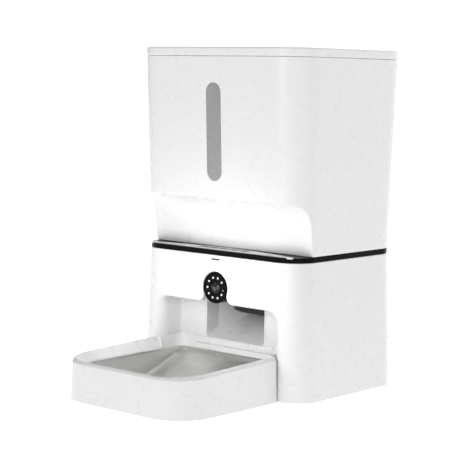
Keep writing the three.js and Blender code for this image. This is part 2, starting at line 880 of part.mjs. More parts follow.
function makeRotor() {
  const reach = cupRadius - cupWall - vaneClear;
  let rotor = cylinder(hubRadius, rotorFoot, hubTop, 0, 0, midSteps);
  for (let i = 0; i < vaneCount; i += 1) {
    const vane = box(0, reach, -vaneThick / 2, vaneThick / 2, rotorFoot, rotorFoot + vaneHeight);
    rotor = rotor.add(vane.rotate([0, 0, (360 / vaneCount) * (i + 0.5)]));
  }
  return rotor.subtract(cylinder(shaftRadius + touchGap, 0, shaftTop + touchGap, 0, 0, midSteps))
    .translate([0, axisY, 0]);
}

addPart('paddle_rotor', makeRotor(), finish.silicone);
addPart('drive_shaft', cylinder(shaftRadius, shaftFoot, shaftTop, 0, axisY, midSteps), finish.steel);

// A post on the rotor's hub with a high arm along X and a low, shorter one along Y.
function makeStirrer() {
  const highZ = deckTop + stirHigh;
  const lowZ = deckTop - stirLow;
  const half = stirWidth / 2;
  const lowReach = stirReach - stirWidth;
  return cylinder(stirPost, hubTop + touchGap, highZ + stirThick, 0, axisY, smallSteps)
    .add(box(-stirReach, stirReach, axisY - half, axisY + half, highZ, highZ + stirThick))
    .add(box(-half, half, axisY - lowReach, axisY + lowReach, lowZ, lowZ + stirThick));
}

addPart('stirring_arm', makeStirrer(), finish.nylon);

// A spur gear with trapezoid teeth and a bore, centred on its axis.
function gear(teeth, bore, turn) {
  const pitch = (gearModule * teeth) / 2;
  const tip = pitch + gearModule * toothTip;
  const root = pitch - gearModule * toothRoot;
  const flank = [[0.37, root], [0.44, tip], [0.56, tip], [0.63, root]];
  const points = Array.from({ length: teeth }, (_, i) => flank.map(([share, radius]) => {
    const angle = ((i + share + turn) / teeth) * 2 * Math.PI;
    return new THREE.Vector2(radius * Math.cos(angle), radius * Math.sin(angle));
  })).flat();
  return upright(points, gearZ, gearZ + gearFace)
    .subtract(cylinder(bore, 0, far, 0, 0, midSteps));
}

// The wheel has a tooth, and the pinion a gap, on the line between their axes.
const pinionY = axisY + (gearModule * (wheelTeeth + pinionTeeth)) / 2;
const wheel = gear(wheelTeeth, shaftRadius + touchGap, wheelTeeth / 4 - 0.5).translate([0, axisY, 0]);
addPart('drive_gear', wheel, finish.nylon);
const pinion = gear(pinionTeeth, pinionBore, (pinionTeeth * 3) / 4).translate([0, pinionY, 0]);
addPart('motor_pinion', pinion, finish.zinc);

// Two joined cylinders round the wheel and the pinion.
function gearRooms(grow, z0, z1) {
  const wheelRadius = (gearModule * wheelTeeth) / 2 + gearRoom + grow;
  const pinionRadius = (gearModule * pinionTeeth) / 2 + pinionRoom + grow;
  return cylinder(wheelRadius, z0, z1, 0, axisY, fineSteps)
    .add(cylinder(pinionRadius, z0, z1, 0, pinionY, roundSteps));
}

const gearboxHousing = gearRooms(gearboxWall, gearboxFoot + gearboxWall + touchGap, gearboxTop)
  .subtract(gearRooms(0, 0, gearboxTop - gearboxWall))
  .subtract(cylinder(shaftRadius + touchGap, 0, far, 0, axisY, midSteps));
addPart('gearbox_housing', gearboxHousing, finish.innerBlack);

const gearboxUnder = gearboxFoot - gearboxSpigot;
const gearboxPlate = gearRooms(gearboxWall, gearboxUnder, gearboxFoot + gearboxWall)
  .subtract(cylinder(shaftRadius + touchGap, shaftFoot - touchGap, far, 0, axisY, midSteps))
  .subtract(cylinder(pinionBore + touchGap, 0, far, 0, pinionY, midSteps));
addPart('gearbox_plate', gearboxPlate, finish.innerBlack);

const motorTop = gearboxUnder - touchGap;
const motorFoot = motorTop - motorLength;
const motor = cylinder(motorRadius, motorFoot, motorTop, 0, pinionY, roundSteps)
  .add(cylinder(motorBoss, motorFoot - motorBossRise, motorTop, 0, pinionY, midSteps));
addPart('gear_motor', motor, finish.zinc);
const motorShaft = cylinder(
  pinionBore - touchGap, motorTop + touchGap, gearZ + gearFace - slideGap, 0, pinionY, smallSteps,
);
addPart('motor_shaft', motorShaft, finish.steel);

// ---------- power, board, speaker ----------
function makeBatteryBox() {
  const boxFoot = floorTop + touchGap;
  const boxTop = boxFoot + 2 * (cellRadius + cellGap) + boxWall;
  return box(-boxHalf, boxHalf, boxFrontY, boxBackY, boxFoot, boxTop).subtract(box(
    -boxHalf + boxWall, boxHalf - boxWall, boxFrontY + boxWall, boxBackY - boxWall, 0, boxTop - boxWall,
  ));
}

addPart('battery_box', makeBatteryBox(), finish.innerBlack);
for (let i = 0; i < cellCount; i += 1) {
  const x0 = -cellsLength / 2 + cellGap + i * (cellLength + cellGap);
  const canEnd = x0 + cellLength - cellTipLength;
  const cell = rodAlongX(cellRadius, x0, canEnd, cellY, cellZ, roundSteps)
    .add(rodAlongX(cellTip, canEnd - lap, x0 + cellLength, cellY, cellZ, smallSteps));
  addPart(`battery_cell_${i + 1}`, cell, finish.cell);
}

const mainBoardY = deckDepth / 2 - mainBoardInset;
const mainBoardFoot = cupFloorZ - mainBoardTopGap - mainBoardHeight;
// A square part that stands forward from the main board.
function boardPart(x, z, side, thick) {
  return box(x - side / 2, x + side / 2, mainBoardY - thick, mainBoardY + lap, z, z + side);
}

const mainBoard = box(
  -mainBoardWidth / 2, mainBoardWidth / 2, mainBoardY, mainBoardY + boardThick,
  mainBoardFoot, mainBoardFoot + mainBoardHeight,
).add(boardPart(moduleX, mainBoardFoot + moduleZ - moduleWidth / 2, moduleWidth, moduleThick))
  .add(boardPart(chokeX, mainBoardFoot + chokeZ - chokeWidth / 2, chokeWidth, chokeThick));
addPart('main_board', mainBoard, finish.board);

const jackBackY = backOf(baseSize(jackZ)) - jackSink;
const jackHoleEnd = jackBackY - jackHoleDepth;
const jack = box(
  jackX - jackWidth / 2, jackX + jackWidth / 2, jackBackY - jackLength, jackBackY,
  jackZ - jackWidth / 2, jackZ + jackWidth / 2,
).subtract(rodAlongY(jackHole, jackHoleEnd, far, jackX, jackZ, midSteps))
  .add(rodAlongY(jackPin, jackHoleEnd - lap, jackBackY - 2 * jackPin, jackX, jackZ, smallSteps));
addPart('power_inlet', jack, finish.innerBlack);

const speakerFoot = floorTop + touchGap;
const speakerTop = speakerFoot + speakerHeight;
const speakerRimTop = speakerFoot + speakerRim;
const speaker = cylinder(speakerRadius, speakerFoot, speakerRimTop, speakerX, speakerY)
  .add(cylinder(speakerMagnet, speakerRimTop - lap, speakerTop, speakerX, speakerY));
addPart('speaker', speaker, finish.innerBlack);

// ---------- hopper ----------
const hopperFoot = deckTop + seamGap;
const hopperTop = lidSeam - seamGap;

// The space in front of the hopper's stepped lower front, moved back by the wall for its inner face.
function coveSpace(wall) {
  const topY = deckFrontY + coveTopDepth;
  const slope = (coveTopZ - coveBendZ) / (coveBendDepth - coveTopDepth);
  const bendY = deckFrontY + coveBendDepth + wall;
  const shape = new THREE.Shape();
  shape.moveTo(topY - far, coveTopZ + far * slope + wall);
  shape.lineTo(topY, coveTopZ + wall);
  shape.quadraticCurveTo(bendY, coveBendZ + wall, deckFrontY + coveFootDepth + wall, coveFootZ);
  shape.lineTo(ledgeWallY + wall, deckTop);
  shape.lineTo(ledgeWallY + wall, 0);
  shape.lineTo(topY - far, 0);
  shape.closePath();
  return across(shape, -far, far);
}

const frontTilt = THREE.MathUtils.radToDeg(Math.atan(
  (frontOf(upperSize(deckTop)) - frontOf(upperSize(lidTop))) / (lidTop - deckTop),
));
const windowTop = lidSeam - windowDrop;
const windowMiddle = (windowBottom + windowTop) / 2;

// A long round-ended block, turned to lie in the hopper's sloping front.
function windowBlock(grow, front, back) {
  const half = windowWidth / 2 + grow;
  const reach = (windowTop - windowBottom) / 2 - windowWidth / 2;
  const shape = new THREE.Shape();
  shape.absarc(0, reach, half, 0, Math.PI, false);
  shape.absarc(0, -reach, half, Math.PI, 2 * Math.PI, false);
  shape.closePath();
  return backwards(shape, front, back).rotate([frontTilt, 0, 0])
    .translate([0, frontOf(upperSize(windowMiddle)), windowMiddle]);
}

function makeHopper() {
  const inside = upperBlock(0, lidTop, hopperWall).subtract(coveSpace(hopperWall));
  return upperBlock(hopperFoot, hopperTop)
    .subtract(coveSpace(0))
    .subtract(inside)
    .subtract(windowBlock(touchGap, -windowWidth, windowWidth));
}

addPart('hopper_shell', makeHopper(), finish.white);

const flangeY = hopperWall + touchGap;
const windowPane = windowBlock(0, windowProud, flangeY + lap)
  .add(windowBlock(windowFlange, flangeY, flangeY + windowFlangeThick));
addPart('level_window', windowPane, finish.smoke);

const funnelFoot = cupTop - funnelReach;

// The funnel's outside, or with no wall its inside, which runs past both of its ends.
function funnelBlock(wall) {
  const beyond = wall ? 0 : cut;
  const radius = throatRadius + wall;
  const neckAcross = 2 * (radius + funnelCornerFlat);
  const neck = outline({ y: axisY, width: neckAcross, depth: neckAcross, corner: radius });
  const top = outline(upperSize(funnelTop, hopperWall + slideGap + throatWall - wall));
  return loft([
    { z: funnelFoot - beyond, points: neck },
    { z: funnelNeck, points: neck },
    { z: funnelTop, points: top },
    { z: funnelTop + funnelRim + beyond, points: top },
  ]);
}

addPart('hopper_funnel', funnelBlock(throatWall).subtract(funnelBlock(0)), finish.white);

// ---------- lid ----------
const lidRoof = lidTop - lidWall;
const plugInset = hopperWall + plugGap;
const plugFoot = lidSeam - plugDepth;
function makeLid() {
  const plate = upperBlock(lidSeam, lidTop).subtract(upperBlock(lidSeam - cut, lidRoof, lidEdgeWall));
  const plug = upperBlock(plugFoot, lidSeam + cut, plugInset)
    .subtract(upperBlock(plugFoot - cut, lidSeam + 2 * cut, plugInset + plugWall));
  return plate.add(plug);
}

addPart('lid', makeLid(), finish.white);

const sealFoot = plugFoot + sealLift;
const seal = upperBlock(sealFoot, sealFoot + sealHeight, hopperWall + sealClear)
  .subtract(upperBlock(sealFoot - cut, sealFoot + sealHeight + cut, plugInset - touchGap));
addPart('lid_seal', seal, finish.silicone);

const desiccantFoot = lidRoof - desiccantDepth;
const desiccantY = lidSetback;
const holderInner = capRadius + slideGap;
const holderOuter = holderInner + desiccantWall;
const holderTop = lidRoof - touchGap;
const desiccantHolder = ring(holderInner, holderOuter, desiccantFoot, holderTop, 0, desiccantY)
  .add(cylinder(holderOuter, holderTop - desiccantWall, holderTop, 0, desiccantY));
addPart('desiccant_holder', desiccantHolder, finish.white);

function makeDesiccantCap() {
  let cap = cylinder(capRadius, desiccantFoot, desiccantFoot + capThick, 0, desiccantY).add(box(
    -capGripHalf, capGripHalf, desiccantY - capGripWidth / 2, desiccantY + capGripWidth / 2,
    desiccantFoot - capGripHeight, desiccantFoot + lap,
  ));
  for (let i = 0; i < capSlots; i += 1) {
    const angle = ((i + 0.5) / capSlots) * 2 * Math.PI;
    cap = cap.subtract(cylinder(
      capSlotRadius, desiccantFoot - cut, desiccantFoot + capThick + cut,
      capSlotRing * Math.cos(angle), desiccantY + capSlotRing * Math.sin(angle), smallSteps,
    ));
  }
  return cap;
}

addPart('desiccant_cap', makeDesiccantCap(), finish.white);
const desiccantBag = cylinder(
  capRadius - desiccantWall, desiccantFoot + capThick + touchGap, holderTop - desiccantWall - touchGap,
  0, desiccantY, midSteps,
);
addPart('desiccant_bag', desiccantBag, finish.silicone);

// ---------- bowl tray ----------
const trayFootY = baseFrontY - trayFoot;
const traySeatY = baseFrontY - trayGap;

// The tray's outline runs on behind the base's front, and is trimmed there.
function trayBlock(inset, z0, z1) {
  const size = (z) => {
    const draft = (trayDraft * z) / trayDraftZ;
    const front = trayFootY + (trayFrontDraft * z) / trayDraftZ;
    return shrink({
      y: (front + trayRearY) / 2,
      width: trayWidth - 2 * draft,
      depth: trayRearY - front,
      corner: trayCorner,
      rearCorner: tongueCorner,
    }, inset);
  };
  return taperedBlock(size(z0), z0, size(z1), z1);
}

function slopedTop(frontZ, rearZ) {
  const shape = new THREE.Shape();
  const slope = (rearZ - frontZ) / (traySeatY - trayFootY);
  shape.moveTo(-far, frontZ - slope * (far + trayFootY));
  shape.lineTo(0, frontZ - slope * trayFootY);
  shape.lineTo(0, far);
  shape.lineTo(-far, far);
  shape.closePath();
  return across(shape, -far, far);
}

const bowlHalf = trayWidth / 2 - trayDraft / 2 - rimWidth;
const bowlFrontY = trayFootY + rimWidth;
const bowlRearY = trayRearY - bowlRearInset;
const bowlTop = {
  y: (bowlFrontY + bowlRearY) / 2,
  width: 2 * bowlHalf,
  depth: bowlRearY - bowlFrontY,
  corner: bowlCorner,
  rearCorner: bowlRearCorner,
};
const bowlBottom = {
  y: bowlFrontY + bowlSideDraft + bowlFloorLength / 2,
  width: 2 * (bowlHalf - bowlSideDraft),
  depth: bowlFloorLength,
  corner: bowlCorner - bowlSideDraft,
  rearCorner: bowlRearCorner - tongueCorner,
};

function grown(size, by) {
  return shrink(size, -by);
}

function bowlBlock(grow, z0, z1) {
  return loft([
    { z: z0, points: outline(grown(bowlBottom, grow)) },
    { z: rimInnerZ, points: outline(grown(bowlTop, grow)) },
    { z: z1, points: outline(grown(bowlTop, grow)) },
  ]);
}

function makeTray() {
  const narrow = mouthHalf - tongueGap;
  const outer = trayBlock(0, footHeight, trayDraftZ)
    .subtract(box(narrow, far, traySeatY, far, 0, far))
    .subtract(box(-far, -narrow, traySeatY, far, 0, far))
    .subtract(slopedTop(trayFrontZ, trayRearZ));
  const pocket = bowlThick + touchGap;
  const underside = trayBlock(trayWall, 0, trayDraftZ)
    .subtract(box(narrow - trayWall, far, traySeatY - trayWall, far, 0, far))
    .subtract(box(-far, -narrow + trayWall, traySeatY - trayWall, far, 0, far))
    .subtract(bowlBlock(trayWall + bowlThick, bowlFloorZ - trayWall - bowlThick, far))
    .subtract(box(-far, far, -far, far, rimInnerZ - bowlFlange - trayWall + slideGap, far));
  const seat = outline(grown(bowlTop, bowlFlange + touchGap));
  const rimSlope = loft([
    { z: rimInnerZ, points: seat },
    { z: rimInnerZ + rimRise, points: outline(grown(bowlTop, rimWidth - rimCrest)) },
    { z: rimInnerZ + 2 * rimRise, points: outline(grown(bowlTop, rimWidth)) },
  ]).subtract(box(-far, far, traySeatY, far, 0, far));
  const lipRoom = lipHalf + slideGap;
  const rearDrop = box(-lipRoom, lipRoom, bowlRearY, far, rampLipZ - lipDrop - slideGap, far);
  return outer
    .subtract(underside)
    .subtract(bowlBlock(pocket, bowlFloorZ - pocket, far))
    .subtract(rimSlope)
    .subtract(upright(seat, rimInnerZ - bowlThick - touchGap, far))
    .subtract(rearDrop);
}

addPart('bowl_tray', makeTray(), finish.white);

function makeBowl() {
  const flange = loft([
    { z: rimInnerZ - bowlThick, points: outline(grown(bowlTop, bowlFlange)) },
    { z: rimInnerZ, points: outline(grown(bowlTop, bowlFlange)) },
  ]);
  return bowlBlock(bowlThick, bowlFloorZ - bowlThick, rimInnerZ + cut)
    .subtract(box(-far, far, -far, far, rimInnerZ, far))
    .add(flange)
    .subtract(bowlBlock(0, bowlFloorZ, far));
}

addPart('steel_bowl', makeBowl(), finish.steel);

const trayPadX = trayWidth / 2 - padInsetX;
const trayPadY = trayFootY + padInsetY;
for (const [name, side] of [['tray_pad_left', -1], ['tray_pad_right', 1]]) {
  addPart(name, cylinder(padRadius, 0, padHeight, side * trayPadX, trayPadY, midSteps), finish.rubber);
}

// ---------- placing ----------
const boxFront = trayFootY;
const boxBack = Math.max(backOf(baseSize(0)), backOf(upperSize(lidTop)));
group.position.y = -(boxFront + boxBack) / 2;

const feeder = new THREE.Group();
feeder.add(group);

export default feeder;
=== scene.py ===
"""Looks of an automatic pet feeder: its casing, camera, chute, bowl tray and steel bowl.

Shapes are laid out in millimetres round the deck's centre, X to the right, Y to the back and Z up
from the floor, and the Layout class turns them into the frame's metres.
"""

import logging
import math
from collections.abc import Callable, Sequence
from dataclasses import dataclass, field
from enum import Enum
from typing import NamedTuple

import bmesh
import bpy
from mathutils import Matrix, Vector


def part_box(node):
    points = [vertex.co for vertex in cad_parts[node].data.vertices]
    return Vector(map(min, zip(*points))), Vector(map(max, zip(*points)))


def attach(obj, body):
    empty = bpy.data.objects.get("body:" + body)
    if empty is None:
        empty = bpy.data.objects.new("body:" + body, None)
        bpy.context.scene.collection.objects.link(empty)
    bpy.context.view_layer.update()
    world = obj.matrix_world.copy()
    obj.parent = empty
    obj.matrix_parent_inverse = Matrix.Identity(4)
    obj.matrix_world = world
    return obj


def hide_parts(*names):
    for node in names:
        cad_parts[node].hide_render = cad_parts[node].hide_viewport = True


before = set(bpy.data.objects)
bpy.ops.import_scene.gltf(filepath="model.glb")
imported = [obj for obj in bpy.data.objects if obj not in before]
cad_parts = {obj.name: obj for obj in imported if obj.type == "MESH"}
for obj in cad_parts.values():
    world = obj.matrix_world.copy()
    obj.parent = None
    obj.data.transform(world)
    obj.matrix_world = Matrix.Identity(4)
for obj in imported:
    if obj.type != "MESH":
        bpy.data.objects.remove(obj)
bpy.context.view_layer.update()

MM = 0.001
COAT_ROUGHNESS = 0.06
NOISE_DETAIL = 4.0
NOISE_LOW, NOISE_HIGH = 0.3, 0.7
BUMP_STRENGTH = 0.6
MERGE = 1e-6
FAR = 1e3
SIDES = ("left", "right")
Point = tuple[float, float]
Triple = tuple[float, float, float]
Ring = list[Triple]
Object = bpy.types.Object
Node = bpy.types.Node
Tree = bpy.types.NodeTree
log = logging.getLogger("feeder")


class Slot(Enum):
    """The record's material slots."""

    WHITE = "white_shell"
    BLACK = "black_gloss"
    INNER = "black_inner"
    WINDOW = "smoke_window"
    BOWL = "bowl_steel"
    STEEL = "plain_steel"
    ZINC = "zinc"
    RUBBER = "dark_rubber"
    SILICONE = "pale_silicone"
    KEY = "key_grey"
    NYLON = "nylon"
    BOARD = "circuit_green"
    LED = "led_clear"
    LENS = "lens_glass"
    CELL = "cell_sleeve"


class Solid(Enum):
    """How one solid is combined with another."""

    CUT = "DIFFERENCE"
    JOIN = "UNION"
    KEEP = "INTERSECT"


# ---------- finishes ----------
@dataclass(frozen=True)
class Finish:
    """A surface finish, built as a node material with its own grain and gloss.

    Scales are in grains per metre, and depths are in metres. A mottle of 0 takes the wear's scale.
    """

    color: Triple
    roughness: float = 0.4
    rough_spread: float = 0.06
    metallic: float = 0.0
    coat: float = 0.0
    specular: float = 0.5
    glow: float = 0.0
    grain: float = 900.0
    grain_depth: float = 0.00001
    wear: float = 14.0
    tint_spread: float = 0.03
    stretch: Triple = (1.0, 1.0, 1.0)
    mottle: float = 0.0
    tint_band: float = 0.2

    def build(self, name: str) -> bpy.types.Material:
        """Make the material.

        Args:
            name: The material's name.

        Returns:
            The new material.
        """
        material = bpy.data.materials.new(name)
        material.use_nodes = True
        tree = material.node_tree
        shader = tree.nodes["Principled BSDF"]
        settings = {
            "Metallic": self.metallic, "Coat Weight": self.coat, "Coat Roughness": COAT_ROUGHNESS,
            "Specular IOR Level": self.specular, "Emission Color": (1, 1, 1, 1),
            "Emission Strength": self.glow,
        }
        for label, value in settings.items():
            shader.inputs[label].default_value = value
        coords = tree.nodes.new("ShaderNodeTexCoord")
        mapping = tree.nodes.new("ShaderNodeMapping")
        mapping.inputs["Scale"].default_value = self.stretch
        tree.links.new(coords.outputs["Object"], mapping.inputs["Vector"])
        self.tint(tree, shader, mapping)
        self.gloss(tree, shader, mapping)
        self.relief(tree, shader, mapping)
        return material

    def noise(self, tree: Tree, mapping: Node, scale: float) -> Node:
        """Add a noise texture of a given scale on the mapped coordinates."""
        texture = tree.nodes.new("ShaderNodeTexNoise")
        texture.inputs["Scale"].default_value = scale
        texture.inputs["Detail"].default_value = NOISE_DETAIL
        tree.links.new(mapping.outputs["Vector"], texture.inputs["Vector"])
        return texture

    def tint(self, tree: Tree, shader: Node, mapping: Node) -> None:
        """Vary the colour slightly and slowly over the surface."""
        ramp = tree.nodes.new("ShaderNodeValToRGB")
        for element, side in zip(ramp.color_ramp.elements, (-1, 1)):
            element.position = 0.5 + side * self.tint_band
            element.color = (*(min(1, c * (1 + side * self.tint_spread)) for c in self.color), 1)
        cells = self.noise(tree, mapping, self.mottle or self.wear)
        tree.links.new(cells.outputs["Fac"], ramp.inputs["Fac"])
        tree.links.new(ramp.outputs["Color"], shader.inputs["Base Color"])

    def gloss(self, tree: Tree, shader: Node, mapping: Node) -> None:
        """Vary the roughness where hands and food have rubbed the surface."""
        spread = tree.nodes.new("ShaderNodeMapRange")
        spread.inputs["From Min"].default_value = NOISE_LOW
        spread.inputs["From Max"].default_value = NOISE_HIGH
        spread.inputs["To Min"].default_value = max(0.02, self.roughness - self.rough_spread)
        spread.inputs["To Max"].default_value = self.roughness + self.rough_spread
        tree.links.new(self.noise(tree, mapping, self.wear * 4).outputs["Fac"], spread.inputs["Value"])
        tree.links.new(spread.outputs["Result"], shader.inputs["Roughness"])

    def relief(self, tree: Tree, shader: Node, mapping: Node) -> None:
        """Add the fine grain as a bump."""
        bump = tree.nodes.new("ShaderNodeBump")
        bump.inputs["Distance"].default_value = self.grain_depth
        bump.inputs["Strength"].default_value = BUMP_STRENGTH
        tree.links.new(self.noise(tree, mapping, self.grain).outputs["Fac"], bump.inputs["Height"])
        tree.links.new(bump.outputs["Normal"], shader.inputs["Normal"])


@dataclass(frozen=True)
class BrushedSteel(Finish):
    """Stainless steel with fine brush lines along one direction."""

    anisotropy: float = 0.5

    def build(self, name: str) -> bpy.types.Material:
        """Make the material, with its highlight drawn out across the lines."""
        material = super().build(name)
        shader = material.node_tree.nodes["Principled BSDF"]
        shader.inputs["Anisotropic"].default_value = self.anisotropy
        return material


@dataclass(frozen=True)
class SmokedPane(Finish):
    """Smoked acrylic over a pale background, mottled in small soft cells."""

    mottle: float = 260.0
    tint_band: float = 0.25


@dataclass(frozen=True)
class CircuitBoard(Finish):
    """Green solder resist with lighter tracks under it."""

    track: Triple = (0.05, 0.26, 0.1)
    pitch: float = 160.0

    def tint(self, tree: Tree, shader: Node, mapping: Node) -> None:
        """Lay tracks as the mortar of a brick pattern."""
        bricks = tree.nodes.new("ShaderNodeTexBrick")
        bricks.inputs["Color1"].default_value = (*self.color, 1)
        bricks.inputs["Color2"].default_value = (*(c * 0.8 for c in self.color), 1)
        bricks.inputs["Mortar"].default_value = (*self.track, 1)
        bricks.inputs["Scale"].default_value = self.pitch
        tree.links.new(mapping.outputs["Vector"], bricks.inputs["Vector"])
        tree.links.new(bricks.outputs["Color"], shader.inputs["Base Color"])


FINISHES: dict[Slot, Finish] = {
    Slot.WHITE: Finish((0.82,) * 3, 0.28, 0.012, coat=0.05, tint_spread=0.003, grain=300, grain_depth=6e-7),
    Slot.BLACK: Finish((0.005, 0.005, 0.006), 0.14, 0.03, specular=0.04, grain=400, grain_depth=1e-6),
    Slot.INNER: Finish((0.012, 0.012, 0.013), 0.38, grain=2400, grain_depth=2e-5),
    Slot.WINDOW: SmokedPane((0.3, 0.3, 0.3), 0.22, 0.04, coat=0.3, tint_spread=0.1),
    Slot.BOWL: BrushedSteel(
        (0.74, 0.74, 0.72), 0.34, 0.05, 1.0, grain=300, grain_depth=1e-5, stretch=(12, 1, 1),
        tint_spread=0.05,
    ),
    Slot.STEEL: BrushedSteel((0.55, 0.55, 0.54), 0.28, metallic=1.0, stretch=(1, 1, 10), grain_depth=1.5e-5),
    Slot.ZINC: Finish((0.5, 0.5, 0.49), 0.38, 0.1, 1.0, grain=1500, grain_depth=1.5e-5, tint_spread=0.12),
    Slot.RUBBER: Finish((0.03, 0.03, 0.03), 0.8, grain=1800, grain_depth=4e-5, tint_spread=0.15),
    Slot.SILICONE: Finish((0.6, 0.6, 0.58), 0.55, grain=1200, grain_depth=2e-5),
    Slot.KEY: Finish((0.22, 0.23, 0.24), 0.42, grain=2600, grain_depth=2e-5, tint_spread=0.06),
    Slot.NYLON: Finish((0.68, 0.65, 0.56), 0.5, grain=1300, grain_depth=1.5e-5),
    Slot.BOARD: CircuitBoard((0.014, 0.11, 0.04), 0.4, grain=1500, grain_depth=2e-5),
    Slot.LED: Finish((0.85, 0.85, 0.86), 0.12, 0.04, coat=1.0, grain_depth=1e-6),
    Slot.LENS: Finish((0.004, 0.004, 0.007), 0.05, 0.02, coat=1.0, grain_depth=1e-6),
    Slot.CELL: Finish((0.25, 0.14, 0.03), 0.35, 0.08, 0.4, grain=900, grain_depth=1e-5, tint_spread=0.1),
}


# ---------- layout ----------
class Place(NamedTuple):
    """A place in local millimetres."""

    x: float
    y: float
    z: float


class Box(NamedTuple):
    """A CAD node's box in local millimetres."""

    low: Place
    high: Place

    @property
    def size(self) -> Place:
        """The box's lengths."""
        return Place(*(b - a for a, b in zip(self.low, self.high)))

    @property
    def middle(self) -> Place:
        """The box's centre."""
        return Place(*((a + b) / 2 for a, b in zip(self.low, self.high)))


@dataclass
class Layout:
    """The casing's outlines and the places that every sub-assembly shares, in millimetres."""

    deck_corner: float = 36.0
    lid_corner: float = 45.0
    skirt_corner: float = 38.0
    seam_gap: float = 0.4
    deck_y: float = field(init=False)
    deck_under: float = field(init=False)
    deck_top: float = field(init=False)
    lid_seam: float = field(init=False)
    lid_top: float = field(init=False)
    foot: float = field(init=False)
    deck: "Outline" = field(init=False)
    lid: "Outline" = field(init=False)
    skirt: "Outline" = field(init=False)

    def __post_init__(self) -> None:
        """Read the casing's sizes from the frame's boxes."""
        low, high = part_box("deck_plate")
        self.deck_y = (low.y + high.y) / 2
        deck, lid, skirt = (self.box(node) for node in ("deck_plate", "lid", "base_shell"))
        self.deck_under, self.deck_top = deck.low.z, deck.high.z
        self.lid_seam, self.lid_top = self.box("hopper_shell").high.z + self.seam_gap, lid.high.z
        self.foot = skirt.low.z
        self.deck = Outline(deck.size.x, deck.size.y, self.deck_corner)
        self.lid = Outline(lid.size.x, lid.size.y, self.lid_corner, y=lid.middle.y)
        self.skirt = Outline(skirt.size.x, skirt.size.y, self.skirt_corner, y=skirt.middle.y)

    def box(self, node: str) -> Box:
        """Give a CAD node's box in local millimetres."""
        return Box(*(Place(v.x / MM, self.local_y(v.y), v.z / MM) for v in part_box(node)))

    def local_y(self, metres: float) -> float:
        """Turn a Y in the frame's metres into millimetres from the deck's centre."""
        return (metres - self.deck_y) / MM

    def place(self, x: float, y: float, z: float) -> Vector:
        """Turn a local point in millimetres into the frame's metres."""
        return Vector((x * MM, y * MM + self.deck_y, z * MM))

    def upper(self, z: float, inset: float = 0.0) -> "Outline":
        """Give the hopper's and the lid's outline at a height."""
        t = (z - self.deck_top) / (self.lid_top - self.deck_top)
        return self.deck.blend(self.lid, t).inset(inset)

    def lower(self, z: float, inset: float = 0.0) -> "Outline":
        """Give the base's outline at a height."""
        t = (self.deck_under - z) / (self.deck_under - self.foot)
        return self.deck.blend(self.skirt, t).inset(inset)


@dataclass(frozen=True)
class Outline:
    """A rectangle with round corners, in millimetres; the rear corners can differ."""

    width: float
    depth: float
    corner: float
    rear: float | None = None
    x: float = 0.0
    y: float = 0.0

    def blend(self, other: "Outline", t: float) -> "Outline":
        """Blend the outline with another."""
        names = ("width", "depth", "corner", "rear_corner", "x", "y")
        pairs = ((getattr(self, name), getattr(other, name)) for name in names)
        return Outline(*(p + (q - p) * t for p, q in pairs))

    @property
    def rear_corner(self) -> float:
        """The rear corners' radius."""
        return self.corner if self.rear is None else self.rear

    @property
    def front(self) -> float:
        """The outline's front Y."""
        return self.y - self.depth / 2

    @property
    def back(self) -> float:
        """The outline's rear Y."""
        return self.y + self.depth / 2

    def inset(self, by: float) -> "Outline":
        """Shrink the outline on all sides, or grow it by a negative amount."""
        return Outline(
            self.width - 2 * by, self.depth - 2 * by, max(0.2, self.corner - by),
            max(0.2, self.rear_corner - by), self.x, self.y,
        )

    def ring(self, z: float, steps: int = 16, sides: int = 4) -> Ring:
        """Give the outline's points at a height, anticlockwise from the front left corner.

        Args:
            z: The ring's height.
            steps: Steps round each corner.
            sides: Parts of each straight side.

        Returns:
            The ring's points.
        """
        corners = ((-1, -1, 180.0, self.corner), (1, -1, 270.0, self.corner),
                   (1, 1, 0.0, self.rear_corner), (-1, 1, 90.0, self.rear_corner))
        arcs = [
            arc(self.x + sx * (self.width / 2 - radius), self.y + sy * (self.depth / 2 - radius),
                radius, start, start + 90, steps)
            for sx, sy, start, radius in corners
        ]
        points: Ring = []
        for here, after in zip(arcs, arcs[1:] + arcs[:1]):
            points += level(here + line(here[-1], after[0], sides)[1:-1], z)
        return points

    def upright(self, y: float) -> Ring:
        """Give the outline's points stood upright at a Y, with its depth along Z."""
        return [(x, y, z) for x, z, _ in self.ring(0, 4, 1)]


